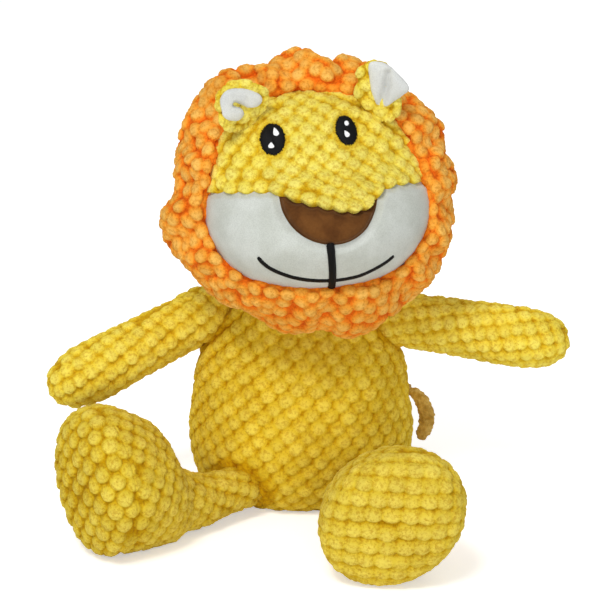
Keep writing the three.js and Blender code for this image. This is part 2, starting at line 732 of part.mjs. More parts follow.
// Tail: a stem that leaves the back, follows it round to the left, and hangs in a tuft

function tail() {
  const seat = torsoAt(TAIL_HEIGHT, TAIL_BEARING);
  const group = new THREE.Group();
  group.position.copy(seat.place).addScaledVector(seat.normal, TAIL_ROOT_RADIUS - TAIL_SINK);
  const points = TAIL_ROUTE_SHARES.map((share) => new THREE.Vector3(...share).multiplyScalar(TAIL_SPAN));
  const route = new THREE.CatmullRomCurve3(points);
  const length = route.getLength();
  const ball = solid(new THREE.SphereGeometry(TAIL_ROOT_RADIUS, ...KNOT_FACETS));
  const stem = tube(route, [0, TAIL_STEM_SHARE], () => TAIL_STEM_RADIUS, 9, TAIL_SIDES).add(ball);
  const swell = (share) => {
    const off = (share - TUFT_SHARES.middle) / TUFT_SHARES.half;
    return TAIL_TUFT_RADIUS * THREE.MathUtils.lerp(TUFT_SHARES.end, 1, Math.sqrt(Math.max(1 - off * off, 0)));
  };
  const tuft = tube(route, [TAIL_STEM_SHARE + GAP / length, 1], swell, 9, TAIL_SIDES);
  group.add(piece("tail_stem", stem, TAN));
  group.add(piece("tail_tuft", tuft, BROWN));
  return group;
}

// The ladder of thread that closes the stuffing opening in the back
function closingStitch() {
  const rise = CLOSING_THREAD_RADIUS + GAP;
  const points = [];
  for (let i = 0; i <= CLOSING_STITCHES; i += 1) {
    const height = CLOSING_BOTTOM + (CLOSING_LENGTH * i) / CLOSING_STITCHES;
    const reach = torsoAt(height, Math.PI / 2).place.y;
    const side = i % 2 ? 1 : -1;
    const seat = torsoAt(height, Math.PI / 2 + side * (CLOSING_HALF_WIDTH / reach));
    points.push(seat.place.addScaledVector(seat.normal, rise));
  }
  const zigzag = new THREE.CatmullRomCurve3(points, false, "catmullrom", 0.3);
  return tube(zigzag, [0, 1], () => CLOSING_THREAD_RADIUS, CLOSING_STITCHES * 2, THREAD_SIDES);
}

// Assembly

const lion = new THREE.Group();

const armLeft = arm("arm_left", 1, ARM_LEFT);
const armRight = arm("arm_right", -1, ARM_RIGHT);
const legLeft = leg("leg_left", HIP_BEARING_LEFT, LEG_LEFT);
const legRight = leg("leg_right", HIP_BEARING_RIGHT, LEG_RIGHT);
const tailGroup = tail();

function torso() {
  const seats = [
    [armLeft.position, ARM_ROOT_RADIUS],
    [armRight.position, ARM_ROOT_RADIUS],
    [legLeft.position, LEG_ROOT_RADIUS],
    [legRight.position, LEG_ROOT_RADIUS],
    [tailGroup.position, TAIL_ROOT_RADIUS],
  ];
  const dimple = (form, at, radius) => form.subtract(socket(at, radius));
  const dimpled = (form, extra) => seats.reduce((left, [at, r]) => dimple(left, at, r + GAP + extra), form);
  const floor = beyond("z", 0, -1);
  const above = beyond("z", TORSO_HEIGHT, 1);
  const reach = NECK_STEM_RADIUS + 2 * GAP;
  const bore = new THREE.CylinderGeometry(reach, reach, 2 * OVERRUN, NECK_FACETS[0]);
  const hole = solid(bore.rotateX(Math.PI / 2));
  const neckHole = hole.intersect(beyond("z", TORSO_HEIGHT - NECK_STEM_DEPTH - GAP, 1));
  const shell = dimpled(lobe(torsoPoint, TORSO_FACETS), 0).subtract(floor).subtract(above);
  const cavity = dimpled(lobe(torsoPoint, TORSO_CORE_FACETS, SKIN), SKIN).subtract(beyond("z", SKIN, -1));
  const skin = shell.subtract(cavity.subtract(beyond("z", TORSO_HEIGHT - SKIN, 1))).subtract(neckHole);
  const core = dimpled(lobe(torsoPoint, TORSO_CORE_FACETS, SKIN + GAP), SKIN + GAP)
    .subtract(beyond("z", SKIN + GAP, -1))
    .subtract(beyond("z", TORSO_HEIGHT - SKIN - GAP, 1))
    .subtract(neckHole);
  const group = new THREE.Group();
  group.add(piece("torso_front_panel", skin.intersect(beyond("y", -GAP / 2, -1)), YELLOW));
  group.add(piece("torso_back_panel", skin.intersect(beyond("y", GAP / 2, 1)), YELLOW));
  group.add(piece("torso_stuffing", core, FIBRE));
  group.add(piece("closing_stitch", closingStitch(), YELLOW));
  return group;
}

const neckPivot = new THREE.Vector3(0, 0, TORSO_HEIGHT - NECK_DOME_DROP);

// The neck's outline from its foot to the top of its dome, drawn in by inset
function neckShape(inset) {
  const [sides, steps] = NECK_FACETS;
  const dome = NECK_RADIUS - inset;
  const stem = NECK_STEM_RADIUS - inset;
  const rim = NECK_DOME_DROP + GAP + inset;
  const profile = new THREE.Path();
  profile.moveTo(0, NECK_DOME_DROP - NECK_STEM_DEPTH);
  profile.lineTo(stem, NECK_DOME_DROP - NECK_STEM_DEPTH);
  profile.lineTo(stem, rim);
  profile.absarc(0, 0, dome, Math.asin(rim / dome), Math.PI / 2, false);
  const points = profile.getPoints(steps);
  points[points.length - 1].x = 0;
  return solid(new THREE.LatheGeometry(points, sides).rotateX(Math.PI / 2));
}

function neck() {
  const group = new THREE.Group();
  group.position.copy(neckPivot);
  group.add(piece("neck_sleeve", neckShape(0).subtract(neckShape(SKIN)), YELLOW));
  group.add(piece("neck_stuffing", neckShape(SKIN + GAP), FIBRE));
  return group;
}

function head() {
  const group = new THREE.Group();
  group.position.set(HEAD_SIDE, -HEAD_FORWARD, neckPivot.z + HEAD_LIFT);
  group.rotation.set(HEAD_PITCH, HEAD_ROLL, HEAD_YAW, "ZYX");
  group.updateMatrixWorld(true);
  const pivot = group.worldToLocal(neckPivot.clone());
  const earLeft = ear(1, "ear_left");
  const earRight = ear(-1, "ear_right");
  const dimpled = (form, extra) =>
    form
      .subtract(socket(pivot, NECK_RADIUS + GAP + extra))
      .subtract(socket(earLeft.position, EAR_KNOT_RADIUS + GAP + extra))
      .subtract(socket(earRight.position, EAR_KNOT_RADIUS + GAP + extra));
  const shell = dimpled(lobe(headPoint, HEAD_FACETS), 0);
  const skin = shell.subtract(dimpled(lobe(headPoint, HEAD_CORE_FACETS, SKIN), SKIN));
  const face = skin.intersect(beyond("y", -GAP / 2, -1));
  const upperCut = facePrism(upperFaceShape(0));
  const lower = face.subtract(facePrism(upperFaceShape(GAP))).subtract(facePrism(noseShape(GAP)));
  group.add(piece("head_back_panel", skin.intersect(beyond("y", GAP / 2, 1)), YELLOW));
  group.add(piece("face_upper_panel", face.intersect(upperCut), YELLOW));
  group.add(piece("face_lower_panel", lower, WHITE));
  group.add(piece("nose_panel", face.intersect(facePrism(noseShape(0))), BROWN));
  group.add(piece("head_stuffing", dimpled(lobe(headPoint, HEAD_CORE_FACETS, SKIN + GAP), SKIN + GAP), FIBRE));
  const maneCut = maneSolid().subtract(socket(earLeft.position, EAR_KNOT_RADIUS + GAP));
  group.add(piece("mane_ruff", maneCut.subtract(socket(earRight.position, EAR_KNOT_RADIUS + GAP)), ORANGE));
  group.add(...faceThread("left", 1), ...faceThread("right", -1));
  group.add(piece("lip_line", embroidery(lipLineShape(), GAP, THREAD_RISE), BLACK));
  group.add(earLeft, earRight);
  return group;
}

lion.add(torso(), neck(), head(), armLeft, armRight, legLeft, legRight, tailGroup);

// The origin goes under the middle of the whole lion, on the floor
const bounds = new THREE.Box3().setFromObject(lion, true);
lion.children.forEach((part) => {
  part.position.x -= (bounds.min.x + bounds.max.x) / 2;
  part.position.y -= (bounds.min.y + bounds.max.y) / 2;
  part.position.z -= bounds.min.z;
});

export default lion;
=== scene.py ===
# A plush lion sitting with its legs stretched out, sewn from bumpy popcorn pile. Each panel is a
# dense sheet laid on the shape of its stuffed form, with every bump of the pile in the mesh.
# Forms are worked out in millimetres; meshes are made in metres.

import json
import math

import bpy
import numpy as np
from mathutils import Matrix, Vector
from mathutils.kdtree import KDTree


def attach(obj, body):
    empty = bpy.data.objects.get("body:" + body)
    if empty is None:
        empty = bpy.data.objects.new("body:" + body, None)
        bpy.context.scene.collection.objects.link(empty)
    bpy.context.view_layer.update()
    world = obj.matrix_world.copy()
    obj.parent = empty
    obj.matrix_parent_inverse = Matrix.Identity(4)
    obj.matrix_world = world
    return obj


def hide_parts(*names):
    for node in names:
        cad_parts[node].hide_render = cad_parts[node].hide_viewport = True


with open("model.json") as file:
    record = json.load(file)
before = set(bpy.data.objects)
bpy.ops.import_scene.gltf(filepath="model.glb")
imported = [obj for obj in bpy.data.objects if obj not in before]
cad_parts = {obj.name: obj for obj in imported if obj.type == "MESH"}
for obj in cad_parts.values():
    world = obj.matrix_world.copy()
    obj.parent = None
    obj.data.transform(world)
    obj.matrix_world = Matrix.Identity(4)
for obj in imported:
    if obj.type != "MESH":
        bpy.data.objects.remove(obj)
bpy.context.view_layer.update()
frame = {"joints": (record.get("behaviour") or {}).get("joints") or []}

MM = 0.001
TURN = 2 * np.pi

# A distance past all others, and how low a vertex may lie over the floor
FAR, FLOOR_GAP = 99.0, 0.05
random = np.random.default_rng(11)

# Pile: how far apart the bumps of a row and the rows are, how far the tops stand over the form and
# the crevices lie under the tops, how far a top hangs down and leans over the bump below, the size
# of a bump's dome in pitches, and how high a crevice counts between 0 and 1
PITCH, ROW = 9.5, 8.7
BUMP_RISE, BUMP_DEPTH = 0.9, 3.0
DROOP, OVERLAP = 1.5, 0.2
DOME, CREVICE = 0.62, 0.2

# Fine unevenness on the bumps, as sizes and heights
RUFFLES = ((0.9, 0.3), (2.3, 0.26))

# How far the shade reaches from the line where a limb is sewn on, and how dark it is; the same for
# a panel's own seam, and how far its last vertices pass under the neighbour
JOIN_REACH, JOIN_SHADE = 3.5, 0.45
SEAM_REACH, SEAM_SHADE, SEAM_TUCK = 1.3, 0.12, 0.6


# Small helpers


def unit(v):
    return v / np.maximum(np.linalg.norm(v, axis=-1, keepdims=True), 1e-9)


def smooth(low, high, x):
    t = np.clip((x - low) / (high - low), 0, 1)
    return t * t * (3 - 2 * t)


# 1 at zero, falling off over a width to either side
def bell(x, width):
    return np.exp(-((x / width) ** 2))


def turned(axis, degrees):
    c, s = math.cos(math.radians(degrees)), math.sin(math.radians(degrees))
    rows = {
        "x": [[1, 0, 0], [0, c, -s], [0, s, c]],
        "y": [[c, 0, s], [0, 1, 0], [-s, 0, c]],
        "z": [[c, -s, 0], [s, c, 0], [0, 0, 1]],
    }
    return np.array(rows[axis])


# Turns a and b in their plane
def leaned(a, b, degrees):
    c, s = math.cos(math.radians(degrees)), math.sin(math.radians(degrees))
    return c * a - s * b, s * a + c * b


# A form's own frame, and which way is down in it
class Place:
    def __init__(self, origin, turn=np.eye(3)):
        self.origin, self.turn = np.array(origin, float), turn
        self.down = turn.T @ np.array([0.0, 0.0, -1.0])

    def world(self, p):
        return p @ self.turn.T + self.origin

    def local(self, p):
        return (p - self.origin) @ self.turn


# A centripetal Catmull-Rom curve through points, at shares t of the way along them
def spline(points, t):
    points = np.array(points, float)
    last = len(points) - 1
    run = np.clip(t, 0, 1) * last
    i = np.minimum(run.astype(int), last - 1)
    w = (run - i)[..., None]
    ends = np.vstack([2 * points[0] - points[1], points, 2 * points[-1] - points[-2]])
    x0, x1, x2, x3 = (ends[i + k] for k in range(4))
    pairs = ((x0, x1), (x1, x2), (x2, x3))
    d0, d1, d2 = (np.sqrt(np.linalg.norm(b - a, axis=-1, keepdims=True)) for a, b in pairs)
    d1 = np.where(d1 < 1e-4, 1, d1)
    d0 = np.where(d0 < 1e-4, d1, d0)
    d2 = np.where(d2 < 1e-4, d1, d2)
    t1 = ((x1 - x0) / d0 - (x2 - x0) / (d0 + d1) + (x2 - x1) / d1) * d1
    t2 = ((x2 - x1) / d1 - (x3 - x1) / (d1 + d2) + (x3 - x2) / d2) * d1
    bend = 3 * x2 - 3 * x1 - 2 * t1 - t2
    return x1 + t1 * w + bend * w**2 + (2 * x1 - 2 * x2 + t1 + t2) * w**3


def smoothed(points, count=200):
    return spline(points, np.linspace(0, 1, count))


# A closed curve through its points, at shares of the way round
def loop(points, share):
    count = len(points)
    run = share * count
    i = run.astype(int) % count
    w = (run - np.floor(run))[:, None, None]
    a, b, c, d = (points[(i + k) % count] for k in (-1, 0, 1, 2))
    return b + 0.5 * w * (c - a + w * (2 * a - 5 * b + 4 * c - d + w * (3 * (b - c) + d - a)))


# How far along a line each of its points lies
def lengths(line):
    return np.concatenate([[0], np.cumsum(np.linalg.norm(np.diff(line, axis=0), axis=-1))])


# Scattered numbers from 0 to 1, always the same for the same points
def hashed(p, salt=0.0):
    return np.modf(np.abs(np.sin(p @ np.array([12.9898, 78.233, 37.719]) + salt) * 43758.5453))[0]


# Fine unevenness of the cloth, between -1 and 1
def ruffle(p, size):
    q = p / size
    a = np.sin(q[:, 0] * 1.7 + 2.1 * np.sin(q[:, 1] * 1.3) + q[:, 2])
    b = np.sin(q[:, 1] * 1.9 + 1.7 * np.sin(q[:, 2] * 1.1) - q[:, 0] * 0.6)
    c = np.sin(q[:, 2] * 2.3 + 1.9 * np.sin(q[:, 0] * 1.5))
    return (a + b + c) / 3


def tree_of(points):
    tree = KDTree(len(points))
    for k, p in enumerate(points.tolist()):
        tree.insert(p, k)
    tree.balance()
    return tree


# The faces of a grid of vertices, whose columns may close into rings, and whose rows may as well
def quads(rows, cols, closed=False, rolled=False):
    i, j = np.meshgrid(np.arange(cols if closed else cols - 1), np.arange(rows if rolled else rows - 1))
    i, j = i.ravel(), j.ravel()
    k, m = (i + 1) % cols, (j + 1) % rows
    return np.stack([j * cols + i, j * cols + k, m * cols + k, m * cols + i], 1)


# A mesh's faces and normals, turned away from its centre
def outward(p, faces, centre):
    n = np.zeros_like(p)
    for f in (faces[:, [0, 1, 2]], faces[:, [0, 2, 3]]):
        across = np.cross(p[f[:, 1]] - p[f[:, 0]], p[f[:, 2]] - p[f[:, 0]])
        for k in range(3):
            np.add.at(n, f[:, k], across)
    n = unit(n)
    if (n * (p - centre)).sum() < 0:
        return faces[:, ::-1], -n
    return faces, n


# Forms, with the stations of the solids

joint_at = {j["child"]: np.array(j["pos_m"]) / MM for j in frame["joints"]}
FLAT = 0.5
TORSO_HEIGHT = 139
NECK_DOME_DROP = 1
TORSO = Place(joint_at["neck"] - [0, 0, TORSO_HEIGHT - NECK_DOME_DROP])
TORSO_STATIONS = [
    [0, 0, -FLAT],
    [46, 33, -FLAT],
    [63.7, 46.64, 12],
    [70, 53, 40],
    [67.74, 47.3, 67],
    [63, 38, 94],
    [49.5, 29, 116],
    [30, 25, TORSO_HEIGHT],
    [0, 0, TORSO_HEIGHT + FLAT],
]


def torso_point(u, v):
    s = spline(TORSO_STATIONS, v)
    turn = TURN * u
    across, deep = np.maximum(s[..., 0], 0) * np.cos(turn), np.maximum(s[..., 1], 0) * np.sin(turn)
    return np.stack([across, deep, s[..., 2]], -1)


HEAD = Place(
    joint_at["neck"] + np.array([8.5, -24, 66]),
    turned("z", 9) @ turned("y", -4) @ turned("x", -15.5),
)
HEAD_WIDTH, HEAD_HEIGHT = 138, 122
BROW_DEPTH, MUZZLE_DEPTH, NAPE_DEPTH = 47, 66, 48
SNOUT_REACH, SNOUT_SPREAD, SNOUT_DIP = 11, 0.52, 0.22
OUTLINE_POWER, FACE_POWER = 2.35, 2.7


def head_radius(n):
    low = smooth(-0.35, 0.45, -n[..., 2])
    ahead = n[..., 1] < 0
    depth = np.where(ahead, BROW_DEPTH + (MUZZLE_DEPTH - BROW_DEPTH) * low, NAPE_DEPTH)
    outline = (np.abs(n[..., 0]) / (HEAD_WIDTH / 2)) ** OUTLINE_POWER
    outline = outline + (np.abs(n[..., 2]) / (HEAD_HEIGHT / 2)) ** OUTLINE_POWER
    outline = outline ** (1 / OUTLINE_POWER)
    power = np.where(ahead, FACE_POWER, 2)
    base = (outline**power + (np.abs(n[..., 1]) / depth) ** power) ** (-1 / power)
    snout = unit(np.array([0, -1, -SNOUT_DIP]))
    return base + SNOUT_REACH * bell(np.arccos(np.clip(n @ snout, -1, 1)), SNOUT_SPREAD)


def head_out(p):
    n = unit(p)
    return n * head_radius(n)[..., None]


def head_normal(p):
    steps = []
    for step in np.eye(3) * 0.2:
        a, b = p + step, p - step
        rise = np.linalg.norm(a, axis=-1) - head_radius(unit(a)) - np.linalg.norm(b, axis=-1)
        steps.append(rise + head_radius(unit(b)))
    return unit(np.stack(steps, -1))


# The greatest distances, up to a limit, at which points given by their distance are in the head
def head_reach(point, count, limit):
    near, far = np.zeros(count), np.full(count, limit)
    for _ in range(30):
        middle = (near + far) / 2
        p = point(middle)
        inside = np.linalg.norm(p, axis=-1) < head_radius(unit(p))
        near, far = np.where(inside, middle, near), np.where(inside, far, middle)
    return near


# The face's surface at x and z, seen from the front of the head
def face_at(x, z):
    depth = head_reach(lambda y: np.stack([x, -y, z], -1), len(x), 120.0)
    return np.stack([x, -depth, z], -1)


# A limb's surface: stations along it, each with half its width and height and how far it is lifted
def swept(stations):
    sizes = [s[:3] for s in stations]
    lifts = [[s[0], s[3] if len(s) > 3 else 0, 0] for s in stations]

    def point(u, v):
        turn = TURN * u
        s = spline(sizes, v)
        wide, tall = np.maximum(s[..., 1], 0) * np.cos(turn), np.maximum(s[..., 2], 0) * np.sin(turn)
        return np.stack([s[..., 0], wide, spline(lifts, v)[..., 1] + tall], -1)

    return point


ARM_LENGTH, ARM_ROOT, ARM_PAW = 99.5, 17, 18.5
ARM_SHARES = ((0.46, 0.95, 0.97), (0.68, 1, 1), (0.86, 0.84, 0.86), (0.96, 0.5, 0.52), (1, 0, 0))
arm_point = swept(
    [[-28.5, 0, 0], [-27, 9, 9], [-21, 13, 13.5], [-10, ARM_ROOT, ARM_ROOT], [0, ARM_ROOT, ARM_ROOT]]
    + [[ARM_LENGTH * 0.24, ARM_ROOT, ARM_ROOT * 1.02]]
    + [[ARM_LENGTH * along, ARM_PAW * wide, ARM_PAW * tall] for along, wide, tall in ARM_SHARES]
)
ARMS = {
    "left": Place(joint_at["arm_left"], turned("z", -6) @ turned("y", 7)),
    "right": Place(joint_at["arm_right"], turned("z", 205) @ turned("y", 20)),
}

LEG_LENGTH, LEG_ROOT, SHANK = 103, 13.5, 16.5
FOOT_WIDTH, FOOT_HEIGHT, FOOT_RISE, FOOT_THICKNESS = 75, 90, 27, 56
SHANK_LENGTH = LEG_LENGTH - FOOT_THICKNESS
SOLE_AT = LEG_LENGTH - 19
FOOT_SHARES = (
    (0, 0.76, 0.8, 0.6),
    (0.26, 0.93, 0.92, 0.82),
    (0.56, 1, 1, 1),
    (0.82, 0.94, 0.95, 1),
    (0.95, 0.66, 0.68, 1),
    (1, 0, 0, 1),
)
leg_point = swept(
    [[-27.5, 0, 0, 0], [-26, 8, 8, 0], [-20, 11, 11, 0]]
    + [[along, LEG_ROOT, LEG_ROOT, 0] for along in (-10, 0)]
    + [[SHANK_LENGTH * 0.42, SHANK, SHANK, 0]]
    + [[SHANK_LENGTH * 0.8, SHANK * 1.25, SHANK * 1.4, FOOT_RISE * 0.25]]
    + [
        [SHANK_LENGTH + FOOT_THICKNESS * s, FOOT_WIDTH / 2 * wide, FOOT_HEIGHT / 2 * tall, FOOT_RISE * up]
        for s, wide, tall, up in FOOT_SHARES
    ]
)
LEGS = {
    "left": Place(joint_at["leg_left"], turned("z", -97) @ turned("x", -50)),
    "right": Place(joint_at["leg_right"], turned("z", -143) @ turned("x", 14)),
}

# Where a limb's closed end begins, inside the torso
LIMB_START = -25


# A panel of a form: the part of point(u, v) between two u and two v, with its arcs measured
class Panel:
    def __init__(self, point, u, v):
        self.point = point
        self.u = np.linspace(u[0], u[1], 241)
        self.v = np.linspace(v[0], v[1], 401)
        table = point(*np.meshgrid(self.u, self.v))
        across = np.linalg.norm(np.diff(table, axis=1), axis=-1)
        self.arc = np.concatenate([np.zeros((len(self.v), 1)), np.cumsum(across, 1)], 1)
        self.width = self.arc[:, -1]
        middle = len(self.u) // 2
        self.middle_arc = self.arc[:, middle]
        self.along = lengths(table[:, middle])
        self.length = self.along[-1]

    # Points of the surface at arcs a, from the middle line, and b, along it
    def at(self, a, b):
        v = np.interp(b, self.along, self.v)
        row = np.interp(b, self.along, np.arange(len(self.v)))
        low = np.minimum(row.astype(int), len(self.v) - 2)
        u = np.empty_like(v)
        for k, i in enumerate(low):
            u[k] = np.interp(a[k] + self.middle_arc[i], self.arc[i], self.u)
        return self.point(u, v)

    # Bump centres in rows tilted by some degrees, each row slid along by a share of the pitch, and
    # the way the rows run at each
    def lattice(self, tilt, pitch=PITCH, row=ROW, slide=0.2, jitter=0.3, shift=(0, 0)):
        reach = self.length + self.width.max()
        j = np.arange(-int(reach / row), int(reach / row) + 1)
        i = np.arange(-int(reach / pitch), int(reach / pitch) + 1)
        i, j = np.meshgrid(i, j)
        x = ((i + slide * j) * pitch + shift[0]).ravel()
        y = (j * row + shift[1]).ravel()
        x = x + random.normal(0, jitter, x.shape)
        y = y + random.normal(0, jitter * 0.7, y.shape)
        a, b = leaned(x, y, tilt)
        b = b + self.length / 2
        inside = (b > 0) & (b < self.length)
        inside &= np.abs(a) < np.interp(b, self.along, self.width) / 2
        a, b = a[inside], b[inside]
        here = self.at(a, b)
        ahead = leaned(0.5, 0, tilt)
        return here, unit(self.at(a + ahead[0], b + ahead[1]) - here)

    # A grid of about one step, with each vertex's distance to the seams
    def grid(self, step, end_seam=False):
        rows = int(self.length / step) + 1
        cols = int(self.width.max() / step) + 1
        v = np.interp(np.linspace(0, self.length, rows), self.along, self.v)
        u = np.linspace(self.u[0], self.u[-1], cols)
        uu, vv = np.meshgrid(u, v)
        p = self.point(uu, vv)
        across = np.cumsum(np.linalg.norm(np.diff(p, axis=1), axis=-1), 1)
        across = np.concatenate([np.zeros((rows, 1)), across], 1)
        edge = np.minimum(across, across[:, -1:] - across)
        if end_seam:
            edge = np.minimum(edge, np.linspace(self.length, 0, rows)[:, None])
        d = 1e-4
        du = self.point(uu + d, vv) - self.point(uu - d, vv)
        dv = self.point(uu, np.minimum(vv + d, 1)) - self.point(uu, np.maximum(vv - d, 0))
        n = unit(np.cross(du, dv))
        return p.reshape(-1, 3), n.reshape(-1, 3), edge.ravel(), quads(rows, cols)


# A form's panels by name, each with its middle u and a little over half the other way
def panels_of(point, middles, half, v):
    return {name: Panel(point, (u - half, u + half), v) for name, u in middles.items()}


# Finds the nearest of many points of a form's surface
def snapper(surface):
    tree = tree_of(surface)
    return lambda q: np.array([tree.find(p)[0] for p in q.tolist()])


def sampled(point):
    u, v = np.meshgrid(np.arange(360) / 360, np.linspace(0.005, 0.995, 300))
    return point(u, v).reshape(-1, 3)


def anywhere(p):
    return np.ones(len(p), bool)


# Moves the free bump centres apart, as long as they stay inside, until they lie evenly
def spread(points, project, inside=anywhere, rounds=6, pitch=PITCH, free=True):
    p = points.copy()
    for _ in range(rounds):
        gap = p[:, None] - p[None]
        r = np.linalg.norm(gap, axis=-1) + 1e-6
        push = np.clip(1 - r / (1.05 * pitch), 0, None)
        np.fill_diagonal(push, 0)
        moved = project(p + (gap / r[..., None] * push[..., None]).sum(1) * pitch * 0.3)
        p = np.where((inside(moved) & free)[:, None], moved, p)
    return p


# Bump centres of one form, with the way their rows run, how far bumps run together along them, and
# their pitch. The panels of a form share them, so the pile runs on over the seams.
class Bumps:
    def __init__(self):
        self.at, self.rows = np.empty((0, 3)), np.empty((0, 3))
        self.squeeze, self.pitch, self.panel = np.empty(0), np.empty(0), np.empty(0)

    # Adds a panel's bumps, but for those that crowd the ones already there
    def add(self, at, rows, squeeze=0.86, pitch=PITCH):
        if len(self.at):
            apart = np.linalg.norm(at[:, None] - self.at[None], axis=-1).min(1) > 0.6 * pitch
            at, rows = at[apart], rows[apart]
        self.at = np.vstack([self.at, at])
        self.rows = np.vstack([self.rows, rows])
        self.squeeze = np.append(self.squeeze, np.full(len(at), squeeze))
        self.pitch = np.append(self.pitch, np.full(len(at), pitch))
        self.panel = np.append(self.panel, np.full(len(at), self.panel.max(initial=0) + 1))

    # Bumps near those of another panel move apart until they lie evenly
    def settle(self, snap):
        gap = np.linalg.norm(self.at[:, None] - self.at[None], axis=-1)
        gap[self.panel[:, None] == self.panel[None]] = FAR
        near = gap.min(1) < 1.4 * PITCH
        self.at = spread(self.at, snap, rounds=8, pitch=self.pitch.mean() * 0.95, free=near)


# How high the pile stands at each point, from 0 in a crevice to 1 on a bump, and its bump's tone.
# Each bump stands higher on its lower side, so that it overlaps the one below it.
def pile(points, centres, down, bumps=None, dome_size=DOME, pitch=PITCH):
    tree = tree_of(centres)
    near = np.array([[f[1] for f in tree.find_n(p, 5)] for p in points.tolist()])
    if bumps:
        pitch = bumps.pitch
    sizes = pitch * dome_size * (0.94 + 0.12 * hashed(centres))
    tops = 0.88 + 0.14 * hashed(centres, 3.1)
    gap = points[:, None] - centres[near]
    square = (gap**2).sum(-1)
    if bumps:
        square = square - (1 - bumps.squeeze[near] ** 2) * (gap * bumps.rows[near]).sum(-1) ** 2
    share = np.sqrt(np.maximum(square, 0)) / sizes[near]
    dome = np.sqrt(np.clip(1 - share**2.5, 0, 1)) * tops[near]
    dome = dome * (1 + OVERLAP * (gap @ down) / sizes[near])
    best = dome.argmax(1)
    pick = np.arange(len(points))
    tones = hashed(centres, 7.7)[near[pick, best]]
    top = dome[pick, best]
    return np.where(top < 2 * CREVICE, CREVICE + top**2 / (4 * CREVICE), top), tones


# Moves vertices by their heights along the normals, the tops of the bumps hanging down a little
def raised(p, n, high, down, depth=BUMP_DEPTH, droop=DROOP):
    lift = (high - 1) * depth + BUMP_RISE + sum(ruffle(p, size) * rise for size, rise in RUFFLES)
    slip = down - n * (n @ down)[:, None]
    return p + n * lift[:, None] + slip * (droop * high**2)[:, None]


# Lays bumpy pile on a grid; edge is each vertex's distance to the panel's seams
def pile_on(p, n, edge, bumps, down):
    high, tone = pile(p, bumps.at, down, bumps)
    high = high * (1 - SEAM_SHADE * bell(edge, SEAM_REACH))
    return raised(p, n, high, down) - n * (SEAM_TUCK * (edge < 0.01))[:, None], high, tone


# Materials

FULL = (255, 255, 255)


def linear(r, g, b):
    shares = (c / 255 for c in (r, g, b))
    return tuple(((s + 0.055) / 1.055) ** 2.4 if s > 0.04 else s / 12.92 for s in shares) + (1,)


def new_material(name):
    material = bpy.data.materials.new(name)
    material.use_nodes = True
    tree = material.node_tree
    tree.nodes.clear()
    out = tree.nodes.new("ShaderNodeOutputMaterial")
    shader = tree.nodes.new("ShaderNodeBsdfPrincipled")
    tree.links.new(shader.outputs[0], out.inputs[0])
    return material, tree, shader


def set_inputs(node, **values):
    for name, value in values.items():
        node.inputs[name.replace("_", " ")].default_value = value


def ramp(tree, source, stops):
    node = tree.nodes.new("ShaderNodeValToRGB")
    node.color_ramp.interpolation = "EASE"
    while len(node.color_ramp.elements) < len(stops):
        node.color_ramp.elements.new(0.5)
    for element, (place, colour) in zip(node.color_ramp.elements, stops):
        element.position = place
        element.color = linear(*colour)
    tree.links.new(source, node.inputs[0])
    return node.outputs[0]


def noise(tree, scale, detail, roughness):
    where = tree.nodes.new("ShaderNodeTexCoord")
    node = tree.nodes.new("ShaderNodeTexNoise")
    set_inputs(node, Scale=scale, Detail=detail, Roughness=roughness)
    tree.links.new(where.outputs["Object"], node.inputs["Vector"])
    return node.outputs["Fac"]


# A colour darkened by another, by an amount
def darkened(tree, colour, amount, by):
    factor, first, second, result = 0, 6, 7, 2
    node = tree.nodes.new("ShaderNodeMix")
    node.data_type = "RGBA"
    node.blend_type = "MULTIPLY"
    node.inputs[factor].default_value = amount
    tree.links.new(colour, node.inputs[first])
    tree.links.new(by, node.inputs[second])
    return node.outputs[result]


def attribute(tree, name):
    node = tree.nodes.new("ShaderNodeAttribute")
    node.attribute_name = name
    return node.outputs["Fac"]


def bump(tree, shader, source, distance, strength):
    node = tree.nodes.new("ShaderNodeBump")
    set_inputs(node, Strength=strength, Distance=distance)
    tree.links.new(source, node.inputs["Height"])
    tree.links.new(node.outputs[0], shader.inputs["Normal"])


# Matt cloth with a sheen of its own colour
def set_cloth(shader, rough, gloss, sheen, pale):
    set_inputs(shader, Roughness=rough, Specular_IOR_Level=gloss)
    set_inputs(shader, Sheen_Weight=sheen, Sheen_Roughness=0.4, Sheen_Tint=linear(*pale))


# Bumpy plush: painted shade deepens the colour in the crevices and a painted highlight makes the bumps' tops
# paler, with a tone of its own for each bump
def bumpy(name, deep, low, middle, top, pale):
    material, tree, shader = new_material(name)
    stops = [(0.08, deep), (0.48, low), (0.75, middle), (1.0, top)]
    colour = ramp(tree, attribute(tree, "height"), stops)
    tone = ramp(tree, attribute(tree, "tone"), [(0.0, (244, 243, 240)), (1.0, FULL)])
    specks = ramp(tree, noise(tree, 470, 4, 0.72), [(0.36, (206, 172, 96)), (0.56, FULL)])
    patches = ramp(tree, noise(tree, 28, 2, 0.5), [(0.3, (247, 244, 240)), (0.7, FULL)])
    for amount, by in ((1.0, tone), (0.62, specks), (0.8, patches)):
        colour = darkened(tree, colour, amount, by)
    tree.links.new(colour, shader.inputs["Base Color"])
    set_cloth(shader, 0.95, 0.05, 0.06, pale)
    bump(tree, shader, noise(tree, 600, 5, 0.7), 0.001, 0.8)
    return material


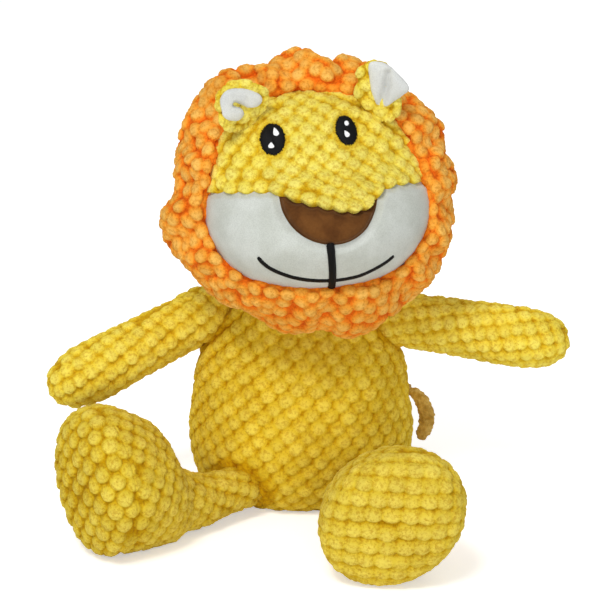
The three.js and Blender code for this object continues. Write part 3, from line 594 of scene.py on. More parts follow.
# Smooth short plush, brushed into faint patches
def brushed(name, dark, light, pale, sheen, scale=45, grain=1500):
    material, tree, shader = new_material(name)
    colour = ramp(tree, noise(tree, scale, 3, 0.55), [(0.32, dark), (0.68, light)])
    shade = ramp(tree, attribute(tree, "shade"), [(0.0, (130, 118, 108)), (1.0, FULL)])
    specks = ramp(tree, noise(tree, grain, 3, 0.7), [(0.3, (226, 226, 226)), (0.65, FULL)])
    for amount, by in ((1.0, shade), (0.7, specks)):
        colour = darkened(tree, colour, amount, by)
    tree.links.new(colour, shader.inputs["Base Color"])
    set_cloth(shader, 0.92, 0.15, sheen, pale)
    bump(tree, shader, noise(tree, 1400, 4, 0.7), 0.0003, 0.6)
    return material


# Embroidery thread: a soft gloss, with the lie of the stitches in the mesh
def thread(name, dark, light, rough):
    material, tree, shader = new_material(name)
    colour = ramp(tree, noise(tree, 700, 3, 0.6), [(0.3, dark), (0.7, light)])
    tree.links.new(colour, shader.inputs["Base Color"])
    set_inputs(shader, Roughness=rough, Specular_IOR_Level=0.16)
    bump(tree, shader, noise(tree, 2600, 3, 0.6), 0.00015, 0.5)
    return material


POPCORN = "yellow_popcorn_plush"
YELLOW = bumpy(POPCORN, (180, 120, 0), (215, 170, 16), (236, 202, 50), (248, 222, 84), (255, 240, 160))
# A copy of the yellow pile with paler crevices and less contrast for the legs and soles: painted light, for
# how the front light falls on them
LIT_LEG_YELLOW = bumpy(
    f"leg_{POPCORN}", (198, 152, 4), (215, 178, 32), (229, 202, 64), (239, 217, 91), (255, 244, 180)
)
# A lighter copy of the yellow pile for the arms: painted light, for the stronger light that falls on them
LIT_ARM_YELLOW = bumpy(
    f"pale_{POPCORN}", (214, 166, 6), (233, 196, 42), (249, 223, 74), (255, 237, 104), (255, 244, 180)
)
# A lighter, more lemon copy of the yellow pile for the face and ears: painted light, for the stronger light
# that falls on them
LIT_YELLOW = bumpy(
    "lit_yellow_popcorn_plush", (214, 170, 12), (232, 199, 52), (244, 225, 90), (249, 236, 118), (255, 250, 200)
)
ORANGE = bumpy(
    "orange_popcorn_plush", (236, 104, 18), (255, 143, 38), (255, 174, 64), (255, 198, 100), (255, 214, 160)
)
WHITE = brushed("white_plush", (194, 198, 189), (208, 212, 205), FULL, 0.1)
EAR_WHITE = brushed("ear_white_plush", (209, 211, 208), (223, 225, 220), FULL, 0.15)
BROWN = brushed("brown_plush", (86, 49, 17), (112, 70, 30), (220, 176, 138), 0.42, 60, 620)
TAN = brushed("tan_plush", (186, 140, 74), (214, 170, 100), (240, 210, 160), 0.3, 200)
FAWN = brushed("fawn_plush", (200, 154, 62), (240, 200, 104), (240, 210, 160), 0.4, 240)
BLACK = thread("black_thread", (4, 4, 5), (11, 11, 13), 0.6)
GLINT = thread("white_thread", (226, 228, 230), (246, 247, 248), 0.5)
STITCH = thread("yellow_thread", (190, 148, 30), (224, 182, 50), 0.6)

# How full the parts are
TORSO_FILL, LIMB_FILL, NECK_FILL, TAIL_FILL = 0.85, 0.8, 0.9, 0.6
HEAD_FILL, CHEEK_FILL, MANE_FILL, EAR_FILL = 0.85, 0.9, 0.5, 0.5


def add(name, data):
    obj = bpy.data.objects.new(name, data)
    bpy.context.scene.collection.objects.link(obj)
    return obj


# A sewn piece, from vertices in millimetres, with values for each vertex that its material reads
def piece(name, p, faces, material, body, nodes, fill=None, **values):
    mesh = bpy.data.meshes.new(name)
    p = p.copy()
    p[:, 2] = np.maximum(p[:, 2], FLOOR_GAP)
    mesh.from_pydata((p * MM).tolist(), [], faces.tolist() if isinstance(faces, np.ndarray) else faces)
    for key, value in values.items():
        data = mesh.attributes.new(key, "FLOAT", "POINT").data
        data.foreach_set("value", np.asarray(value, np.float32))
    mesh.polygons.foreach_set("use_smooth", np.ones(len(mesh.polygons), bool))
    mesh.materials.append(material)
    mesh.update()
    obj = add(name, mesh)
    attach(obj, body)
    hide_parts(*nodes)


# Torso, arms and legs


# How near points are to the line where the limbs are sewn to the torso, from 0 to 1 on it
def by_joint(p, body):
    if body == "torso":
        limbs = [(place, ARM_ROOT) for place in ARMS.values()]
        limbs += [(place, SHANK) for place in LEGS.values()]
        near = []
        for place, radius in limbs:
            q = place.local(p)
            gap = np.hypot(q[:, 1], q[:, 2]) - radius
            near.append(bell(np.maximum(gap, 0), JOIN_REACH) * (q[:, 0] > LIMB_START))
        return np.max(near, axis=0)
    q = TORSO.local(p)
    stations = smoothed(TORSO_STATIONS, 400)
    wide, deep = (np.interp(q[:, 2], stations[:, 2], np.maximum(stations[:, k], 1e-6)) for k in (0, 1))
    share = np.hypot(q[:, 0] / wide, q[:, 1] / deep)
    gap = np.hypot(q[:, 0], q[:, 1]) * (1 - 1 / share)
    return bell(np.maximum(gap, 0), JOIN_REACH)


# Covers a body's panels in pile, laid in about one step each. The first stands for its stuffing too.
def cover(body, place, panels, steps, bumps, material, fill, end_seam=False):
    for k, (side, panel) in enumerate(panels.items()):
        p, n, edge, faces = panel.grid(steps[k], end_seam)
        p, high, tone = pile_on(p, n, edge, bumps, place.down)
        high = high * (1 - JOIN_SHADE * by_joint(place.world(p), body))
        nodes = [f"{body}_{side}_panel"] + [f"{body}_stuffing"] * (k == 0)
        name = f"{body}_{side}_cloth"
        piece(name, place.world(p), faces, material, body, nodes, fill, height=high, tone=tone)


def torso():
    panels = panels_of(torso_point, {"front": 0.75, "back": 0.25}, 0.2512, (0.004, 0.996))
    bumps = Bumps()
    for panel, shift in zip(panels.values(), ((0, 0), (3, 2))):
        bumps.add(*panel.lattice(41, shift=shift))
    bumps.settle(snapper(sampled(torso_point)))
    cover("torso", TORSO, panels, (0.85, 1.0), bumps, YELLOW, TORSO_FILL)


# How far the rows of bumps on each arm are turned from its width, their spacings and slide; and the
# same for both legs, and for each sole with how much its bumps run together along the rows
ARM_ROWS = {"left": (106, 7.9, 8.9, -0.18), "right": (103, 8.0, 9.6, -0.19)}
LEG_ROWS = (63, 8.2, 9.6, 0)
SOLE_ROWS = {"left": (50, 9.3, 8.9, 0.13, 0.78), "right": (41, 10.2, 9.8, -0.5, 1.0)}
ARM_FRONT = {"left": 0.5, "right": 0.0}


def arm(side, snap):
    front = ARM_FRONT[side]
    panels = panels_of(arm_point, {"front": front, "back": 0.5 - front}, 0.252, (0.004, 0.998))
    bumps = Bumps()
    for panel, shift in zip(panels.values(), ((1, 2), (4, 1))):
        bumps.add(*panel.lattice(*ARM_ROWS[side], 0.5, shift), 1.0, 8.9)
    bumps.settle(snap)
    cover(f"arm_{side}", ARMS[side], panels, (0.8, 1.0), bumps, LIT_ARM_YELLOW, LIMB_FILL)


# The sole's grid, from its seam inwards, with each vertex's distance to the seam
def sole_grid(sole_from, rows=84, cols=300):
    v = 1 - (1 - sole_from + 0.002) * np.linspace(1, 0.02, rows)
    uu, vv = np.meshgrid(np.arange(cols) / cols, v)
    p = leg_point(uu, vv)
    d = 1e-4
    across = leg_point(uu + d, vv) - leg_point(uu - d, vv)
    along = leg_point(uu, np.minimum(vv + d, 1)) - leg_point(uu, vv - d)
    steps = np.linalg.norm(np.diff(p, axis=0), axis=-1)
    edge = np.concatenate([np.zeros((1, cols)), np.cumsum(steps, 0)], 0)
    return p, unit(np.cross(across, along)).reshape(-1, 3), edge, v


def sole_lattice(sole_from, tilt, pitch, row, slide):
    _, _, edge, v = sole_grid(sole_from)
    radial = edge[-1] - edge
    cols = radial.shape[1]
    i, j = np.meshgrid(np.arange(-9, 10), np.arange(-9, 10))
    x, y = ((i + slide * j) * pitch).ravel(), (j * row).ravel()
    x, y = x + random.normal(0, 0.35, x.shape), y + random.normal(0, 0.25, y.shape)
    a, b = leaned(x, y, tilt)
    angle = np.mod(np.arctan2(b / FOOT_HEIGHT, a / FOOT_WIDTH) / TURN, 1)
    reach = np.hypot(a, b)
    centres = []
    for k in range(len(a)):
        column = int(angle[k] * cols) % cols
        limit = radial[0, column]
        if reach[k] < limit:
            level = np.interp(limit - reach[k], limit - radial[:, column], v)
            centres.append(leg_point(np.array([angle[k]]), np.array([level]))[0])
    return np.array(centres), np.tile([0.0, *leaned(1, 0, tilt)], (len(centres), 1))


def leg(side, snap, sole_from):
    body, place = f"leg_{side}", LEGS[side]
    panels = panels_of(leg_point, {"inner": 0.0, "outer": 0.5}, 0.252, (0.004, sole_from + 0.002))
    *rows_of_sole, squeeze = SOLE_ROWS[side]
    bumps = Bumps()
    bumps.add(*sole_lattice(sole_from, *rows_of_sole), squeeze)
    for panel, shift in zip(panels.values(), ((2, 1), (0, 3))):
        bumps.add(*panel.lattice(*LEG_ROWS, 0.4, shift), 1.0, 9.2)
    bumps.settle(snap)
    cover(body, place, panels, (0.85, 0.85), bumps, LIT_LEG_YELLOW, LIMB_FILL, True)

    p, n, edge, _ = sole_grid(sole_from)
    rows, cols = edge.shape
    p, high, tone = pile_on(p.reshape(-1, 3), n, edge.ravel(), bumps, place.down)
    p = np.vstack([p, p[-cols:].mean(0)])
    high, tone = np.append(high, high[-1]), np.append(tone, tone[-1])
    last = (rows - 1) * cols
    faces = quads(rows, cols, True).tolist()
    faces += [[last + i, last + (i + 1) % cols, len(p) - 1] for i in range(cols)]
    nodes = [f"{body}_sole"]
    piece(f"{body}_sole_cloth", place.world(p), faces, LIT_LEG_YELLOW, body, nodes, LIMB_FILL,
          height=high, tone=tone)


def limbs():
    arm_snap, leg_snap = snapper(sampled(arm_point)), snapper(sampled(leg_point))
    share = np.linspace(0.5, 1, 4001)
    sole_from = float(np.interp(SOLE_AT, leg_point(np.zeros(len(share)), share)[:, 0], share))
    for side in ("left", "right"):
        arm(side, arm_snap)
    for side in ("left", "right"):
        leg(side, leg_snap, sole_from)


torso()
limbs()


# Head

# Seams of the face as seen from its front, in x and z: under the brow, and round the nose
CHEEK_SEAM = [(-66, 7), (-49, 5), (-36, 4), (-29, 2), (-22, -2), (-14, -5.5), (-5, -8.5), (4, -11.5),
              (13, -13), (21, -11.5), (28, -6), (35, -1.5), (46, 0), (62, -0.5)]
NOSE_OUTLINE = [(-29, 2), (-28.5, -9), (-23.5, -20), (-14.5, -28), (-3, -31.8), (8, -31), (18, -25),
                (25, -15), (29, -5)]
SCALLOP, SCALLOP_DROP = 8.4, 1.5


# The seam of the upper panel, hidden under the bumps that hang over it
def scalloped(line):
    drop = SCALLOP_DROP * np.abs(np.sin(np.pi * line[:, 0] / SCALLOP))
    return np.stack([line[:, 0], line[:, 1] - drop], -1)


cheek_line = smoothed(CHEEK_SEAM, 500)
seam_line = np.vstack([[(-300, 7)], scalloped(cheek_line), [(300, -0.5)]])
nose_line = smoothed(NOSE_OUTLINE)


def seam_height(x):
    return np.interp(x, seam_line[:, 0], seam_line[:, 1])


# Distance to a polyline and the nearest point on it
def to_line(q, line):
    best = np.full(len(q), 1e9)
    place = np.zeros_like(q)
    for s, e in zip(line[:-1], line[1:]):
        d = e - s
        if (d @ d) < 1e-9:
            continue
        t = np.clip(((q - s) @ d) / (d @ d), 0, 1)
        near = s + t[:, None] * d
        gap = np.linalg.norm(q - near, axis=1)
        closer = gap < best
        best[closer], place[closer] = gap[closer], near[closer]
    return best, place


# Each eye's middle, size and lean
EYES = {"left": (16.4, 33.2, 12.6, 17.6, 6), "right": (-26.8, 32.6, 14.4, 18.6, -10)}


def eye_distance(p):
    best = np.full(len(p), FAR)
    for x, z, width, height, _ in EYES.values():
        r = np.hypot((p[:, 0] - x) / (width / 2), (p[:, 2] - z) / (height / 2))
        best = np.minimum(best, (r - 1) * width / 2)
    return np.where(p[:, 1] < 0, best, FAR)


# A lattice on the front or back of the head, with rows level from side to side
def head_lattice(facing, low, high, pitch, row):
    lift = np.linspace(math.radians(low), math.radians(high), 300)

    def ray(turn, fall):
        n = [np.cos(fall) * np.sin(turn), -facing * np.cos(fall) * np.cos(turn), np.sin(fall)]
        return head_out(np.stack(n, -1))

    along = lengths(ray(np.zeros(300), lift))
    zero = np.interp(0, lift, along)
    points = []
    turns = np.linspace(-math.pi / 2, math.pi / 2, 200)
    for j in range(-24, 25):
        b = zero + j * row
        if not 0 < b < along[-1]:
            continue
        fall = np.interp(b, along, lift)
        arc = lengths(ray(turns, np.full(200, fall)))
        half = arc[-1] / 2
        for i in range(-20, 21):
            a = (i + 0.5 * (j % 2)) * pitch + random.normal(0, 0.3)
            if abs(a) < half - 1:
                points.append(ray(np.array([np.interp(a + half, arc, turns)]), np.array([fall]))[0])
    return np.array(points)


# A grid round the head from front to back, between two shares of the way
def head_grid(start, end, step, cols=430):
    over_top = 118
    rows = int((end - start) / 0.5 * over_top / step)
    u, v = np.meshgrid(np.arange(cols) / cols, np.linspace(start, end, rows))
    turn, fall = TURN * u, np.pi * v
    n = np.stack([np.sin(fall) * np.sin(turn), -np.cos(fall), np.sin(fall) * np.cos(turn)], -1)
    return (n * head_radius(n)[..., None]).reshape(-1, 3), rows, cols


# The front of the head as one sheet, its vertices drawn to the seams, and which panel each face is
# of: 0 the brow, 1 the cheeks, 2 the nose
def face_sheet():
    p, rows, cols = head_grid(0.002, 0.51, 0.85)
    faces = quads(rows, cols, True)
    hub = len(p)
    p = np.vstack([p, head_out(np.array([[0.0, -1.0, 0.0]]))])
    fan = np.array([[i, hub, hub, (i + 1) % cols] for i in range(cols)])
    middle = p[faces].mean(1)
    above = middle[:, 2] > seam_height(middle[:, 0])
    floor = np.interp(middle[:, 0], nose_line[:, 0], nose_line[:, 1], left=FAR, right=FAR)
    part = np.where(above, 0, np.where(middle[:, 2] > floor, 2, 1))
    touch = np.zeros((len(p), 3), bool)
    for k in range(3):
        touch[faces[part == k].ravel(), k] = True
    by_seam = touch[:, 0] & (touch[:, 1] | touch[:, 2])
    by_nose = touch[:, 2] & touch[:, 1] & ~touch[:, 0]
    target = p.copy()
    target[by_seam, 2] = seam_height(p[by_seam, 0])
    _, place = to_line(p[by_nose][:, [0, 2]], nose_line)
    target[by_nose, 0], target[by_nose, 2] = place[:, 0], place[:, 1]
    drawn = by_seam | by_nose
    q = p[drawn]
    for _ in range(6):
        q[:, 0], q[:, 2] = target[drawn, 0], target[drawn, 2]
        q = head_out(q)
    p[drawn] = q
    return p, faces, fan, part


# Cuts a panel out of the head's sheet, of the faces to keep
def cut(name, keep, moved, material, nodes, fill, **values):
    used = np.unique(keep)
    index = np.full(len(moved), -1)
    index[used] = np.arange(len(used))
    shapes = [list(dict.fromkeys(f)) for f in index[keep].tolist()]
    values = {key: value[used] for key, value in values.items()}
    piece(name, HEAD.world(moved[used]), shapes, material, "head", nodes, fill, **values)


# Cheeks and muzzle are fullest in the viewer's left cheek
def cheek_rise(p):
    return 0.7 + 0.3 * ruffle(p, 14) + 1.6 * bell(p[:, 0] + 40, 20) * bell(p[:, 2] + 30, 20)


# How deep the smooth panels dip at their seams
SEAM_DIP = 2.6


def face():
    p, faces, fan, part = face_sheet()
    n = head_normal(p)
    to_seam, _ = to_line(p[:, [0, 2]], seam_line)
    to_nose, _ = to_line(p[:, [0, 2]], nose_line)

    # The brow's lowest bumps hang over its seam, and the bridge of the nose stands out
    hem_x = (np.arange(-7, 7) + 0.5) * SCALLOP
    hem = face_at(hem_x, np.interp(hem_x, cheek_line[:, 0], cheek_line[:, 1]) + 2.4)
    centres = head_lattice(1, -14, 89, 12.2, 6.1)
    from_hem = np.linalg.norm(centres[:, None] - hem[None], axis=-1).min(1)
    above = (centres[:, 2] > seam_height(centres[:, 0]) + 1.5) & (from_hem > 4.6)
    centres = spread(
        np.vstack([centres[above], hem]),
        head_out,
        lambda q: (q[:, 1] < -2) & (q[:, 2] > seam_height(q[:, 0]) + 2.5),
        rounds=8,
        pitch=8.6,
        free=np.arange(above.sum() + len(hem)) < above.sum(),
    )
    high, tone = pile(p, centres, HEAD.down, dome_size=0.63, pitch=8.9)
    by_eye = smooth(0.2, 3.2, eye_distance(p))
    high = high * by_eye + (1 - by_eye) * 0.5
    bridge = bell(to_seam, 9) * smooth(38, 26, np.abs(p[:, 0]))
    upper = raised(p, n, high, HEAD.down) + n * (bridge * 2.0)[:, None]
    hidden = p - n * 1.9
    upper = hidden + (upper - hidden) * smooth(0, 0.8, to_seam)[:, None]
    keep = np.vstack([faces[part == 0], fan])
    cut("face_upper_cloth", keep, upper, LIT_YELLOW, ["face_upper_panel", "head_stuffing"], HEAD_FILL,
        height=high, tone=tone)

    edge = np.minimum(to_seam, to_nose)
    lift = cheek_rise(p) - SEAM_DIP * (1 - smooth(0, 4.5, edge)) + 0.05 * ruffle(p, 1.1)
    shade = 0.8 + 0.2 * smooth(0, 4, edge)
    cut("face_lower_cloth", faces[part == 1], p + n * lift[:, None], WHITE, ["face_lower_panel"],
        CHEEK_FILL, shade=shade)

    lift = 0.7 + 4.2 * smooth(0, 17, edge) - SEAM_DIP * (1 - smooth(0, 3.5, edge)) + 0.08 * ruffle(p, 1.0)
    shade = 0.55 + 0.45 * smooth(0, 9, edge)
    cut("nose_cloth", faces[part == 2], p + n * lift[:, None], BROWN, ["nose_panel"], HEAD_FILL,
        shade=shade)


def head_back():
    p, rows, cols = head_grid(0.49, 0.998, 0.95)
    centres = spread(head_lattice(-1, -89, 89, 13.0, 6.5), head_out, lambda q: q[:, 1] > 2)
    high, tone = pile(p, centres, HEAD.down, dome_size=0.64, pitch=9.2)
    moved = raised(p, head_normal(p), high, HEAD.down)
    piece("head_back_cloth", HEAD.world(moved), quads(rows, cols, True), YELLOW, "head",
          ["head_back_panel"], HEAD_FILL, height=high, tone=tone)


face()
head_back()


# Mane: a gathered ruff. Going round from the top, how far its edge stands from the middle of the
# head, and how far behind the head's middle its seam lies on the face
MANE_EDGE = [(0, 86), (6, 81), (12, 78), (18, 83), (25, 82), (36, 80), (48, 81), (59, 82), (70, 84), (78, 80),
             (89, 84), (98, 81), (107, 84), (118, 84), (130, 87), (143, 87), (153, 87), (160, 88), (166, 90),
             (172, 91), (178, 88), (184, 83), (193, 86), (199, 87), (208, 84), (216, 83), (226, 87),
             (236, 88), (247, 90), (255, 94), (263, 95), (269, 92), (276, 84), (284, 85), (293, 86),
             (304, 89), (312, 90), (324, 91), (336, 86), (346, 81), (352, 85)]
MANE_SEAM = [(0, -18), (20, -24), (40, -29), (60, -32), (80, -34), (100, -36), (120, -34), (140, -33),
             (160, -36), (180, -40), (200, -39), (215, -35), (230, -28), (245, -19), (258, -17), (270, -20),
             (283, -25), (297, -24), (310, -18), (325, -15), (340, -15)]

# Waves going round the ruff, as counts, heights and phases: its folds, and how its edge sways
MANE_FOLDS = ((9, 0.5, 2.6), (14, 0.8, 0.4), (19, 0.8, 2.1), (26, 0.5, 4.4))
MANE_SWAYS = ((7, 0.6, 1.1), (12, 0.8, 1.9), (17, 0.7, 0.2))


def waves(table, turn):
    return sum(height * np.cos(count * turn + phase) for count, height, phase in table)


# A table of values round a circle, smoothed
def around(table, degrees):
    table = np.array(table, float)
    places = np.concatenate([table[-3:, 0] - 360, table[:, 0], table[:3, 0] + 360])
    values = np.concatenate([table[-3:, 1], table[:, 1], table[:3, 1]])
    share = np.interp(degrees, places, np.linspace(0, 1, len(places)))
    return spline(np.stack([values, values], -1), share)[..., 0]


# Bump centres scattered over a mesh, no two nearer than the pitch
def scattered(p, pitch):
    taken = []
    grid = {}
    steps = [(x, y, z) for x in (-1, 0, 1) for y in (-1, 0, 1) for z in (-1, 0, 1)]
    for k in random.permutation(len(p)):
        cell = np.floor(p[k] / pitch).astype(int)
        near = [q for step in steps for q in grid.get(tuple(cell + step), ())]
        if all(((p[k] - q) ** 2).sum() >= pitch**2 for q in near):
            grid.setdefault(tuple(cell), []).append(p[k])
            taken.append(p[k])
    return np.array(taken)


def mane():
    cols, rows = 760, 130
    degrees = np.arange(cols) / cols * 360
    turn = np.radians(degrees)
    out = np.stack([np.sin(turn), np.zeros(cols), np.cos(turn)], -1)
    under_chin = bell(degrees - 185, 45)
    folds = waves(MANE_FOLDS, turn) * (0.75 - 0.35 * under_chin)
    edge = around(MANE_EDGE, degrees)
    seam = around(MANE_SEAM, degrees)
    inner = head_reach(lambda r: out * r[:, None] + seam[:, None] * np.array([0, 1, 0]), cols, 90.0)
    head = head_radius(out)
    width = edge - inner
    brim = -7 - 0.1 * out[:, 0] * edge + waves(MANE_SWAYS, turn) * 3
    # The ruff's cross-section, as distances from the head's middle and depths, from its seam on the
    # face over the front to the brim, and back under to the head
    section = np.array([
        (inner - 4, seam + 6),
        (inner - 0.5, seam - 1.5),
        (inner + 0.22 * width, seam - 5 + folds * 2),
        (inner + 0.58 * width, 0.65 * seam + 0.35 * brim - 5.5 + folds * 4.8),
        (inner + 0.88 * width, 0.25 * seam + 0.75 * brim - 5 + folds * 4.0),
        (edge, brim),
        (inner + 0.9 * width, brim + 6.5 + folds),
        (0.5 * (edge + head), 5 + brim * 0.3 + folds * 1.5),
        (head - 1, np.full(cols, 8)),
        (head - 9, np.full(cols, -4)),
    ]).transpose(0, 2, 1)
    curve = loop(section, np.arange(rows) / rows)
    p = out[None] * curve[..., :1]
    p[..., 1] = curve[..., 1]
    centre = np.tile(p.mean(0), (rows, 1))
    p = p.reshape(-1, 3)
    faces, n = outward(p, quads(rows, cols, True, True), centre)
    centres = spread(scattered(p, 7.4), snapper(p), rounds=4, pitch=8.0)
    high, tone = pile(p, centres, HEAD.down, dome_size=0.64, pitch=9.0)
    moved = raised(p, n, high, HEAD.down, depth=3.6, droop=0.7)
    # Painted shade in the valley where the ruff meets the face: only the height that its colour reads is
    # lowered there, after the cloth is shaped
    face_valley_shade = bell(np.repeat(np.arange(rows), cols) / rows - 0.1, 0.05)
    high = high * (1 - 0.45 * face_valley_shade)
    piece("mane_cloth", HEAD.world(moved), faces, ORANGE, "head", ["mane_ruff"], MANE_FILL,
          height=high, tone=tone)


mane()


# Ears

# Each ear's outlines in its own x and z: the back, the lining and the crease folded into it; and
# the crease's width and depth
EAR_BACK = {
    "left": [(-17, 23), (-13.8, 27.4), (-8.4, 29.6), (0, 29), (9.6, 25), (12.4, 18.6), (16.4, 13.4),
             (17, 6.7), (13, 1), (5, -1.4), (-3, -0.6), (-9.5, 3.3), (-13.5, 10.7), (-16.5, 15.7)],
    "right": [(11.9, 23.3), (16.6, 16.6), (17.1, 7), (12.4, 2), (6.5, 0), (-0.2, -0.6), (-6.5, 1),
              (-12.6, 5.1), (-15.6, 12), (-13, 19.5), (-9.6, 25.4), (-5, 28.8), (0.6, 30.1), (6.3, 28.2)],
}
EAR_LINING = {
    "left": [(-14.3, 25.6), (-7.9, 30.5), (0.1, 30.2), (12.5, 27.2), (12.2, 20.1), (10.5, 14.8), (7.8, 7.5),
             (4, 7), (-2.8, 11.3), (-8.2, 16.9)],
    "right": [(-9.6, 21), (-5.7, 26.5), (-0.4, 27.4), (4.7, 24.6), (9.6, 18.8), (12.6, 11.8), (11.5, 7),
              (7.4, 6), (3.6, 8.8), (0.1, 10.6), (-2.1, 8.3), (-6.4, 8.6), (-10.4, 13.4), (-11.2, 18)],
}
EAR_CREASE = {
    "left": [(-1.6, 27), (2.3, 18.5), (5.3, 9)],
    "right": [(-1.4, 17.6), (0.4, 13.7), (1.2, 8)],
}
EAR_CREASE_SIZE = {"left": (2.6, 2.6), "right": (1.6, 4.5)}
EAR_CUP, EAR_CURL = 70, 3.0

# How far back the middles of the back and the lining lie, and how thick each is to either side
EAR_BACK_SIZE, EAR_LINING_SIZE = (2.0, 3.4), (-1.4, 3.6)


# A cushion over an outline drawn in x and z, thick in the middle and rounded to its edge
def cushion(outline, middle_y, half, turns=220, rings=40):
    outline = np.array(outline, float)
    line = loop(outline[:, None], np.arange(turns) / turns)[:, 0]
    middle = line.mean(0)
    shares = np.sin(np.linspace(0.02, np.pi / 2, rings))
    shares = np.concatenate([shares, shares[::-1][1:]])
    side = np.concatenate([-np.ones(rings), np.ones(rings - 1)])
    flat = middle + (line - middle)[None] * shares[:, None, None]
    thick = half * (1 - shares**3) ** 0.5 * side
    bend = -(flat[..., 0] ** 2) / EAR_CUP - EAR_CURL * np.clip(flat[..., 1] / 30, 0, 1.2) ** 2
    p = np.stack([flat[..., 0], middle_y + thick[:, None] + bend, flat[..., 1]], -1).reshape(-1, 3)
    faces, n = outward(p, quads(len(shares), turns, True), p.mean(0))
    return p, faces, n


def ear(side, sign):
    body = f"ear_{side}"
    place = Place(joint_at[body], HEAD.turn @ turned("y", sign * 40) @ turned("x", 20))
    p, faces, n = cushion(EAR_BACK[side], *EAR_BACK_SIZE)
    high, tone = pile(p, scattered(p, 6.6), place.down, pitch=8.4)
    moved = raised(p, n, high, place.down, depth=2.6, droop=0.5)
    nodes = [f"{body}_back"]
    piece(f"{body}_back_cloth", place.world(moved), faces, LIT_YELLOW, body, nodes, EAR_FILL,
          height=high, tone=tone)

    p, faces, n = cushion(EAR_LINING[side], *EAR_LINING_SIZE)
    crease, _ = to_line(p[:, [0, 2]], smoothed(EAR_CREASE[side], 40))
    width, depth = EAR_CREASE_SIZE[side]
    deep = bell(crease, width) * (n[:, 1] < 0)
    moved = p + np.array([0, 1.0, 0]) * (deep * depth)[:, None] + n * (0.15 * ruffle(p, 3.0))[:, None]
    nodes, shade = [f"{body}_lining"], 1 - 0.1 * depth * deep
    piece(f"{body}_lining_cloth", place.world(moved), faces, EAR_WHITE, body, nodes, EAR_FILL, shade=shade)


ear("left", 1)
ear("right", -1)


# Embroidery on the face


# A patch over an outline drawn in x and z, with the lie of its stitches across the way of the rib
def patch(name, outline, rise, material, node, rib=(0.0, 1.0), base=0.0, rings=14):
    stitch = 0.9
    middle = outline.mean(0)
    count = len(outline)
    shares = (np.linspace(0, 1, rings) ** 0.8)[::-1]
    flat = (middle + (outline - middle)[None] * shares[:, None, None]).reshape(-1, 2)
    share = np.repeat(shares, count)
    p = face_at(flat[:, 0], flat[:, 1])
    up = base + rise * np.clip(1 - share**3, 0, 1) ** 0.5
    up = up + 0.12 * np.sin((flat @ np.array(rib)) * TURN / stitch) * np.clip(1 - share**4, 0, 1)
    p = p + head_normal(p) * up[:, None]
    piece(name, HEAD.world(p), quads(rings, count, True)[:, ::-1], material, "head", [node])


def placed(x, z, a, b, lean):
    a, b = leaned(a, b, lean)
    return np.stack([x + a, z + b], -1)


# An oval with a ragged edge
def oval(x, z, width, height, lean, ragged, seed, count):
    t = np.arange(count) / count * TURN
    jag = np.random.default_rng(seed).normal(0, ragged, count)
    return placed(x, z, np.cos(t) * (width / 2 + jag), np.sin(t) * (height / 2 + jag), lean)


# A drop with a pointed tail
def drop(x, z, width, height, lean):
    t = np.arange(60) / 60 * TURN
    return placed(x, z, np.cos(t) * width / 2 * (1 - 0.6 * np.sin(t)), np.sin(t) * height / 2, lean)


# A sewn line, with the lie of its twist
def ribbon(name, line, half, rise, node, twist=1.6):
    length = lengths(line)
    count, sides = int(length[-1] / 0.25), 13
    along = np.linspace(0, length[-1], count)
    centre = np.stack([np.interp(along, length, line[:, k]) for k in (0, 1)], -1)
    tangent = unit(np.gradient(centre, axis=0))
    aside = np.stack([-tangent[:, 1], tangent[:, 0]], -1)
    across = np.linspace(-1, 1, sides)
    ends = np.sqrt(np.clip(1 - (np.abs(2 * along / length[-1] - 1)) ** 40, 0, 1))
    wobble = 1 + 0.07 * np.sin(along * TURN / twist)
    reach = across[None, :, None] * (half * wobble * ends)[:, None, None]
    flat = centre[:, None] + aside[:, None] * reach
    p = face_at(flat[..., 0].ravel(), flat[..., 1].ravel())
    up = rise * np.sqrt(np.clip(1 - across**2, 0, 1))[None] * ends[:, None]
    slant = np.sin((along[:, None] + across[None] * half * 0.8) * TURN / twist)
    up = up + 0.16 * slant * np.clip(1 - across**2, 0, 1)[None]
    p = p + head_normal(p) * (up.ravel() + cheek_rise(p) - 0.3)[:, None]
    piece(name, HEAD.world(p), quads(count, sides), BLACK, "head", [node])


EYE_RISE, GLINT_RISE = 1.3, 0.6
GLINTS = {
    "left": (oval(16.9, 36.7, 2.7, 3.0, 0, 0.1, 5, 60), drop(15.9, 30.8, 2.6, 4.2, 24)),
    "right": (drop(-24.4, 36.2, 2.9, 4.9, 8), drop(-28.0, 28.8, 3.0, 3.4, -8)),
}
SMILE = {
    "left": [(-1.4, -51.9), (7, -51.6), (14, -50.6), (23.6, -47.4), (30, -44.6), (34.8, -41.6)],
    "right": [(-3.2, -51.6), (-11, -50.5), (-18.2, -48.9), (-26.6, -45.9), (-34.9, -41), (-39.6, -37),
              (-43, -32.6)],
}
LIP_LINE = [(-4.3, -29.6), (-3.4, -40), (-2.4, -50), (-1.5, -63)]

for side, eye in EYES.items():
    patch(f"eye_{side}_thread", oval(*eye, 0.26, 3, 160), EYE_RISE, BLACK, f"eye_{side}", rib=(1, 0.15))
for side, outlines in GLINTS.items():
    for level, outline in zip(("upper", "lower"), outlines):
        node = f"eye_{side}_{level}_glint"
        patch(f"{node}_thread", outline, GLINT_RISE, GLINT, node, base=EYE_RISE, rings=6)
for side, points in SMILE.items():
    ribbon(f"smile_{side}_thread", smoothed(points), 1.1, 0.9, f"smile_{side}")
ribbon("lip_line_thread", smoothed(LIP_LINE), 2.3, 1.9, "lip_line", 1.2)


# Neck sleeve, a gathered dome under the head
NECK_DOME, NECK_GATHERS = 24.5, 18


def on_dome(turn, lift):
    ring = np.cos(lift)
    return np.stack([ring * np.cos(turn), ring * np.sin(turn), np.sin(lift)], -1).reshape(-1, 3)


